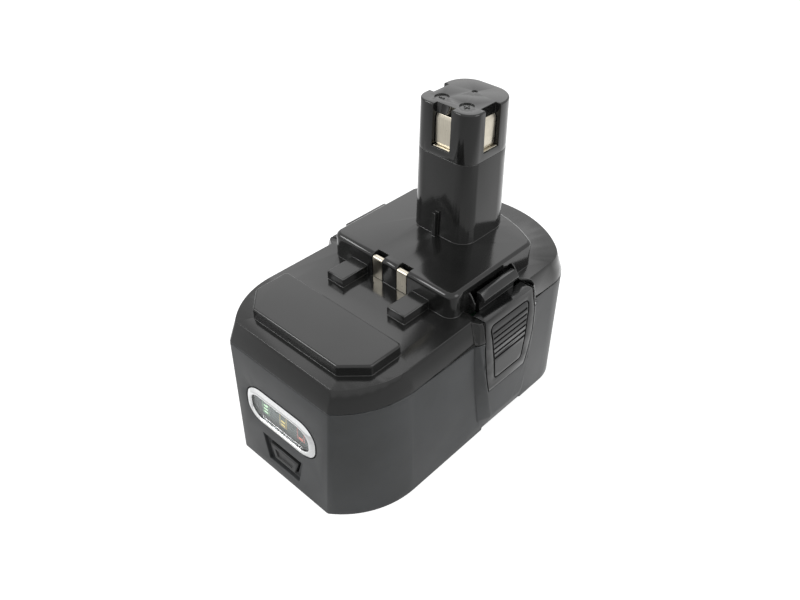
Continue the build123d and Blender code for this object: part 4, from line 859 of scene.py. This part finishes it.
# %% [markdown]
# ## The bright ring round the gauge
#
# On the real pack this is a thin plated moulding, clipped into the front. Its
# section rises slowly from a thin lip that covers the joint, is highest near
# the lens and then drops steeply: so it shows a wide outer band of light and a
# narrow inner one. A torus would be too round and an extruded oval too flat.
# So the section is a skewed super-ellipse, carried round the oval, with short
# walls behind it that close the section. The front of the case leans back a
# little, and the lip follows it.

# %% Gauge ring
RING_BAND = 2.7 * MM
RING_LIP = 0.22 * MM
RING_LIFT_OFF = 0.02 * MM
RING_PROUD = 0.9 * MM
RING_RADIUS = 8.0 * MM
RING_FULLNESS = 2.0
RING_SKEW = 2.0
RING_STEPS, OUTLINE_STEPS = 32, 160


def squeezed(flat):
    """Gauge outlines with each height as the gauge's lift plus the height times its squeeze."""
    lower = flat.copy()
    lower[..., 1] = GAUGE_LIFT + GAUGE_SQUEEZE * flat[..., 1]
    return lower


def ring_points(low, high):
    """Points of the ring's closed section round its oval, as (section, outline, xyz).

    Over s from 0 at the lip to 1 at the lens, the height above the case is
    (1 - |2 s^k - 1|^n)^(1/n) of the full height; then come the inner wall, the back and the
    outer wall. The case's own face lies at lean * (height above the middle).
    """
    center, unit = round_outline((high[0] - low[0]) / 2, (high[2] - low[2]) / 2, RING_RADIUS,
                                 OUTLINE_STEPS)
    s = (1 - np.cos(np.linspace(0, math.pi, RING_STEPS))) / 2
    lift = (1 - np.abs(2 * s ** RING_SKEW - 1) ** RING_FULLNESS) ** (1 / RING_FULLNESS)
    face, back = low[1] + RING_PROUD, high[1]
    offset = np.concatenate([(RING_BAND + RING_LIP) * s - RING_LIP,
                             [RING_BAND, RING_BAND, 0.0, 0.0]])
    flat = squeezed(center[None] + (RING_RADIUS - offset)[:, None, None] * unit[None])
    depth = face - RING_LIFT_OFF + FRONT_LEAN * flat[..., 1]
    depth[:RING_STEPS] += (low[1] - depth[:RING_STEPS]) * lift[:, None]
    depth[RING_STEPS] = (face + back) / 2
    depth[RING_STEPS + 1:RING_STEPS + 3] = back
    return placed(flat, (low[0] + high[0]) / 2, depth, (low[2] + high[2]) / 2)


ring_low, ring_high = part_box("gauge_bezel")
gauge_ring = add_piece("gauge_ring",
                       mesh_of_grids("gauge_ring", [(ring_points(ring_low, ring_high), True)]),
                       "pack", "chrome_trim")
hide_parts("gauge_bezel")
print("ring faces:", len(gauge_ring.data.polygons))

# %% [markdown]
# ## The lens
#
# The lens is a thin clear moulding with a slight crown and a soft edge. Its
# outline is shrunk towards the middle in steps; the crown falls off with the
# square of the distance from the middle, and the two poles are welded.

# %% Gauge lens
LENS_CROWN = 0.25 * MM
LENS_EDGE = 0.20 * MM
LENS_GAP = 0.22 * MM
LENS_THICKNESS = 0.40 * MM
LENS_STEPS, LENS_EDGE_STEPS = 14, 6
LENS_BACK_SHARES = np.array([1.0, 0.5, 0.0])


def lens_points():
    """Rings of the lens from its front pole to its back pole.

    Front: share s of the outline, depth = -crown (1 - s^2); edge: a quarter turn of the edge
    radius; then the side wall and the flat back.
    """
    low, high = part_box("gauge_lens")
    inset = RING_BAND + LENS_GAP
    radius = RING_RADIUS - inset
    center, unit = round_outline((ring_high[0] - ring_low[0]) / 2 - inset,
                                 (ring_high[2] - ring_low[2]) / 2 - inset, radius, OUTLINE_STEPS)
    outline = center + radius * unit
    inner = center + (radius - LENS_EDGE) * unit
    share = np.linspace(0, 1, LENS_STEPS)
    front = inner[None] * share[:, None, None]
    front_depth = -LENS_CROWN * (1 - share ** 2)
    turn = np.linspace(0, math.pi / 2, LENS_EDGE_STEPS)[1:]
    edge = inner[None] + (LENS_EDGE * np.sin(turn))[:, None, None] * unit[None]
    edge_depth = LENS_EDGE * (1 - np.cos(turn))
    back = outline[None] * LENS_BACK_SHARES[:, None, None]
    back_depth = np.full(len(LENS_BACK_SHARES), LENS_THICKNESS)
    flat = squeezed(np.concatenate([front, edge, back]))
    depth = low[1] + np.concatenate([front_depth, edge_depth, back_depth])[:, None]
    return placed(flat, (low[0] + high[0]) / 2, depth, (low[2] + high[2]) / 2)


gauge_window = add_piece("gauge_window", mesh_of_grids("gauge_window", [(lens_points(), False)]),
                         "pack", "clear_lens")
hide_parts("gauge_lens")
print("lens faces:", len(gauge_window.data.polygons))

# %% [markdown]
# ## The seal round the lens
#
# A thin dark seal holds the lens in the ring. It shows as the fine dark line
# inside the bright band, and it keeps the lens from mirroring the plated wall.
# Its four-sided section is carried round the same oval.

# %% Lens seal
SEAL_PLAY = 0.01 * MM


def seal_points():
    """Four-sided section between ring and lens round the oval, as (section, outline, xyz)."""
    low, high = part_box("gauge_lens")
    center, unit = round_outline((ring_high[0] - ring_low[0]) / 2,
                                 (ring_high[2] - ring_low[2]) / 2, RING_RADIUS, OUTLINE_STEPS)
    outer, inner = RING_BAND + SEAL_PLAY, RING_BAND + LENS_GAP - SEAL_PLAY
    offset = np.array([outer, inner, inner, outer])
    flat = squeezed(center[None] + (RING_RADIUS - offset)[:, None, None] * unit[None])
    front, back = low[1] + LENS_EDGE / 2, high[1]
    depth = np.array([front, front, back, back])[:, None]
    return placed(flat, (low[0] + high[0]) / 2, depth, (low[2] + high[2]) / 2)


lens_seal = add_piece("lens_seal", mesh_of_grids("lens_seal", [(seal_points(), True)]), "pack",
                      "dark_plastic")
print("seal faces:", len(lens_seal.data.polygons))

# %% [markdown]
# ## The printed level icons
#
# Behind the lens a grey plate carries three upright battery signs: a faint
# outline, a short cap and four, two or one level bars. On the real plate they
# are printed ink, lit from behind. Here each is a very thin slab on the plate,
# because a slab keeps its edge from every side and needs no picture.

# %% Level icons
INK_HEIGHT, INK_SINK, INK_STEPS = 0.05 * MM, 0.01 * MM, 24
INK_DEPTHS = np.array([-INK_HEIGHT, -INK_HEIGHT, INK_SINK, INK_SINK])[:, None]
SLAB_SHARES = np.array([0.0, 1.0, 1.0, 0.0])[:, None, None]
ICON_PITCH = 9.3 * MM
SIGN_HALF_WIDTH, SIGN_HALF_HEIGHT, SIGN_LINE = 1.85 * MM, 3.20 * MM, 0.34 * MM
SIGN_RADIUS = 0.4 * MM
CAP_HALF_HEIGHT, CAP_RADIUS = 0.8 * SIGN_LINE, 0.5 * SIGN_LINE
BAR_HALF_WIDTH, BAR_HALF_HEIGHT, BAR_PITCH = 1.05 * MM, 0.36 * MM, 1.45 * MM
BAR_RADIUS = BAR_HALF_HEIGHT / 2
BAR_FIRST_DROP = 2.25 * MM
SIGNS = (("green", -ICON_PITCH, 4), ("amber", 0.0, 2), ("red", ICON_PITCH, 1))


def ink_slab(x, z, half_width, half_height, radius, face):
    """Thin rounded slab: pole, outline, outline behind it, pole."""
    center, unit = round_outline(half_width, half_height, radius, INK_STEPS)
    flat = SLAB_SHARES * (center + radius * unit)[None]
    return placed(flat, x, face + INK_DEPTHS, z), False


def ink_frame(x, z, half_width, half_height, radius, line, face):
    """Thin rounded frame: a four-sided section carried round the outline."""
    center, unit = round_outline(half_width, half_height, radius, INK_STEPS)
    offset = np.array([0.0, line, line, 0.0])
    flat = center[None] + (radius - offset)[:, None, None] * unit[None]
    return placed(flat, x, face + INK_DEPTHS, z), True


plate_low, plate_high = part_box("gauge_icon_plate")
plate_face = plate_low[1]
plate_middle = (plate_low[2] + plate_high[2]) / 2 + GAUGE_LIFT / 2
cap_middle = plate_middle + SIGN_HALF_HEIGHT + SIGN_LINE
for colour, x, bars in SIGNS:
    sign_grids = [ink_frame(x, plate_middle, SIGN_HALF_WIDTH, SIGN_HALF_HEIGHT, SIGN_RADIUS,
                            SIGN_LINE, plate_face),
                  ink_slab(x, cap_middle, SIGN_HALF_WIDTH / 2, CAP_HALF_HEIGHT, CAP_RADIUS,
                           plate_face)]
    bar_grids = [ink_slab(x, plate_middle - BAR_FIRST_DROP + k * BAR_PITCH, BAR_HALF_WIDTH,
                          BAR_HALF_HEIGHT, BAR_RADIUS, plate_face) for k in range(bars)]
    for name, grids, slot, ink in (
            (f"level_sign_{colour}", sign_grids, "icon_plate", f"{colour}_line"),
            (f"level_bars_{colour}", bar_grids, f"{colour}_light", f"{colour}_bar")):
        add_piece(name, mesh_of_grids(name, grids), "pack", slot, inks[ink])
    print("sign", colour, "bars:", bars)

# %% [markdown]
# ## The terminal plates in the stem
#
# Each window of the stem shows a nickel plate: its top end is chamfered, so
# that the tool's spring contact slides on to it, and at the foot it turns out
# into a short shelf under a narrow groove. The outline of that section is
# carried straight across the plate, and a Bevel modifier breaks its edges.

# %% Terminal plates
PLATE_THICKNESS = 0.9 * MM
PLATE_CHAMFER_DROP, PLATE_CHAMFER_DEPTH = 1.5 * MM, 0.7 * MM
SHELF_REACH, SHELF_THICKNESS, SHELF_SEAT = 1.2 * MM, 0.40 * MM, 0.03 * MM
GROOVE_HEIGHT, GROOVE_DEPTH = 0.35 * MM, 0.35 * MM
WINDOW_DROP = 15.8 * MM
WINDOW_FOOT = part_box("stem_cap")[1][2] - WINDOW_DROP
PLATE_BREAK, PLATE_BREAK_STEPS = 0.10 * MM, 3


def plate_section(low, high):
    """Outline of the plate as (out from its face, height), foot to top and back."""
    shelf_low = WINDOW_FOOT + SHELF_SEAT
    shelf_high = shelf_low + SHELF_THICKNESS
    groove_high = shelf_high + GROOVE_HEIGHT
    return np.array([
        (-PLATE_THICKNESS, low), (0.0, low), (0.0, shelf_low), (SHELF_REACH, shelf_low),
        (SHELF_REACH, shelf_high), (-GROOVE_DEPTH, shelf_high), (-GROOVE_DEPTH, groove_high),
        (0.0, groove_high), (0.0, high - PLATE_CHAMFER_DROP), (-PLATE_CHAMFER_DEPTH, high),
        (-PLATE_THICKNESS, high)])


def terminal_plate(name, node, out_axis, out_sign):
    """Section carried across the plate between the two sides of the node's box."""
    low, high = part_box(node)
    section = plate_section(low[2], high[2])
    across_axis = 1 - out_axis
    face = high[out_axis] if out_sign > 0 else low[out_axis]
    count = len(section)
    points = np.empty((2, count, 3))
    points[..., out_axis] = face + out_sign * section[:, 0]
    points[..., 2] = section[:, 1]
    points[0, :, across_axis] = low[across_axis]
    points[1, :, across_axis] = high[across_axis]
    number = np.arange(count)
    following = (number + 1) % count
    sides = np.stack([number, following, following + count, number + count],
                     axis=-1).tolist()
    ends = [number[::-1].tolist(), (number + count).tolist()]
    mesh = bpy.data.meshes.new(name)
    mesh.from_pydata(points.reshape(-1, 3).tolist(), [], sides + ends)
    work = bmesh.new()
    work.from_mesh(mesh)
    bmesh.ops.recalc_face_normals(work, faces=work.faces)
    work.to_mesh(mesh)
    work.free()
    mesh.shade_smooth()
    plate = add_piece(name, mesh, "pack", "nickel")
    soft = plate.modifiers.new("broken_edges", "BEVEL")
    soft.width, soft.segments, soft.limit_method = PLATE_BREAK, PLATE_BREAK_STEPS, "ANGLE"
    soft.harden_normals = True
    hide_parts(node)


# Each row: name, node, axis that the plate faces along, and which way.
TERMINALS = (("terminal_front", "contact_thermistor", 1, -1),
             ("terminal_right", "contact_positive", 0, 1),
             ("terminal_left", "contact_negative", 0, -1))
for name, node, axis, sign in TERMINALS:
    terminal_plate(name, node, axis, sign)
print("terminal plates:", len(TERMINALS))

# %% [markdown]
# ## The springs behind the latches
#
# A compression coil behind each panel pushes the latch out. When the latch is
# pressed in, the real coil gets shorter towards the cup that holds its fixed
# end. The solid's coil already has its true turns, so its copy is only welded.

for side in ("right", "left"):
    node = f"latch_spring_{side}"
    coil = welded_copy(node, f"latch_coil_{side}")
    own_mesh(coil)
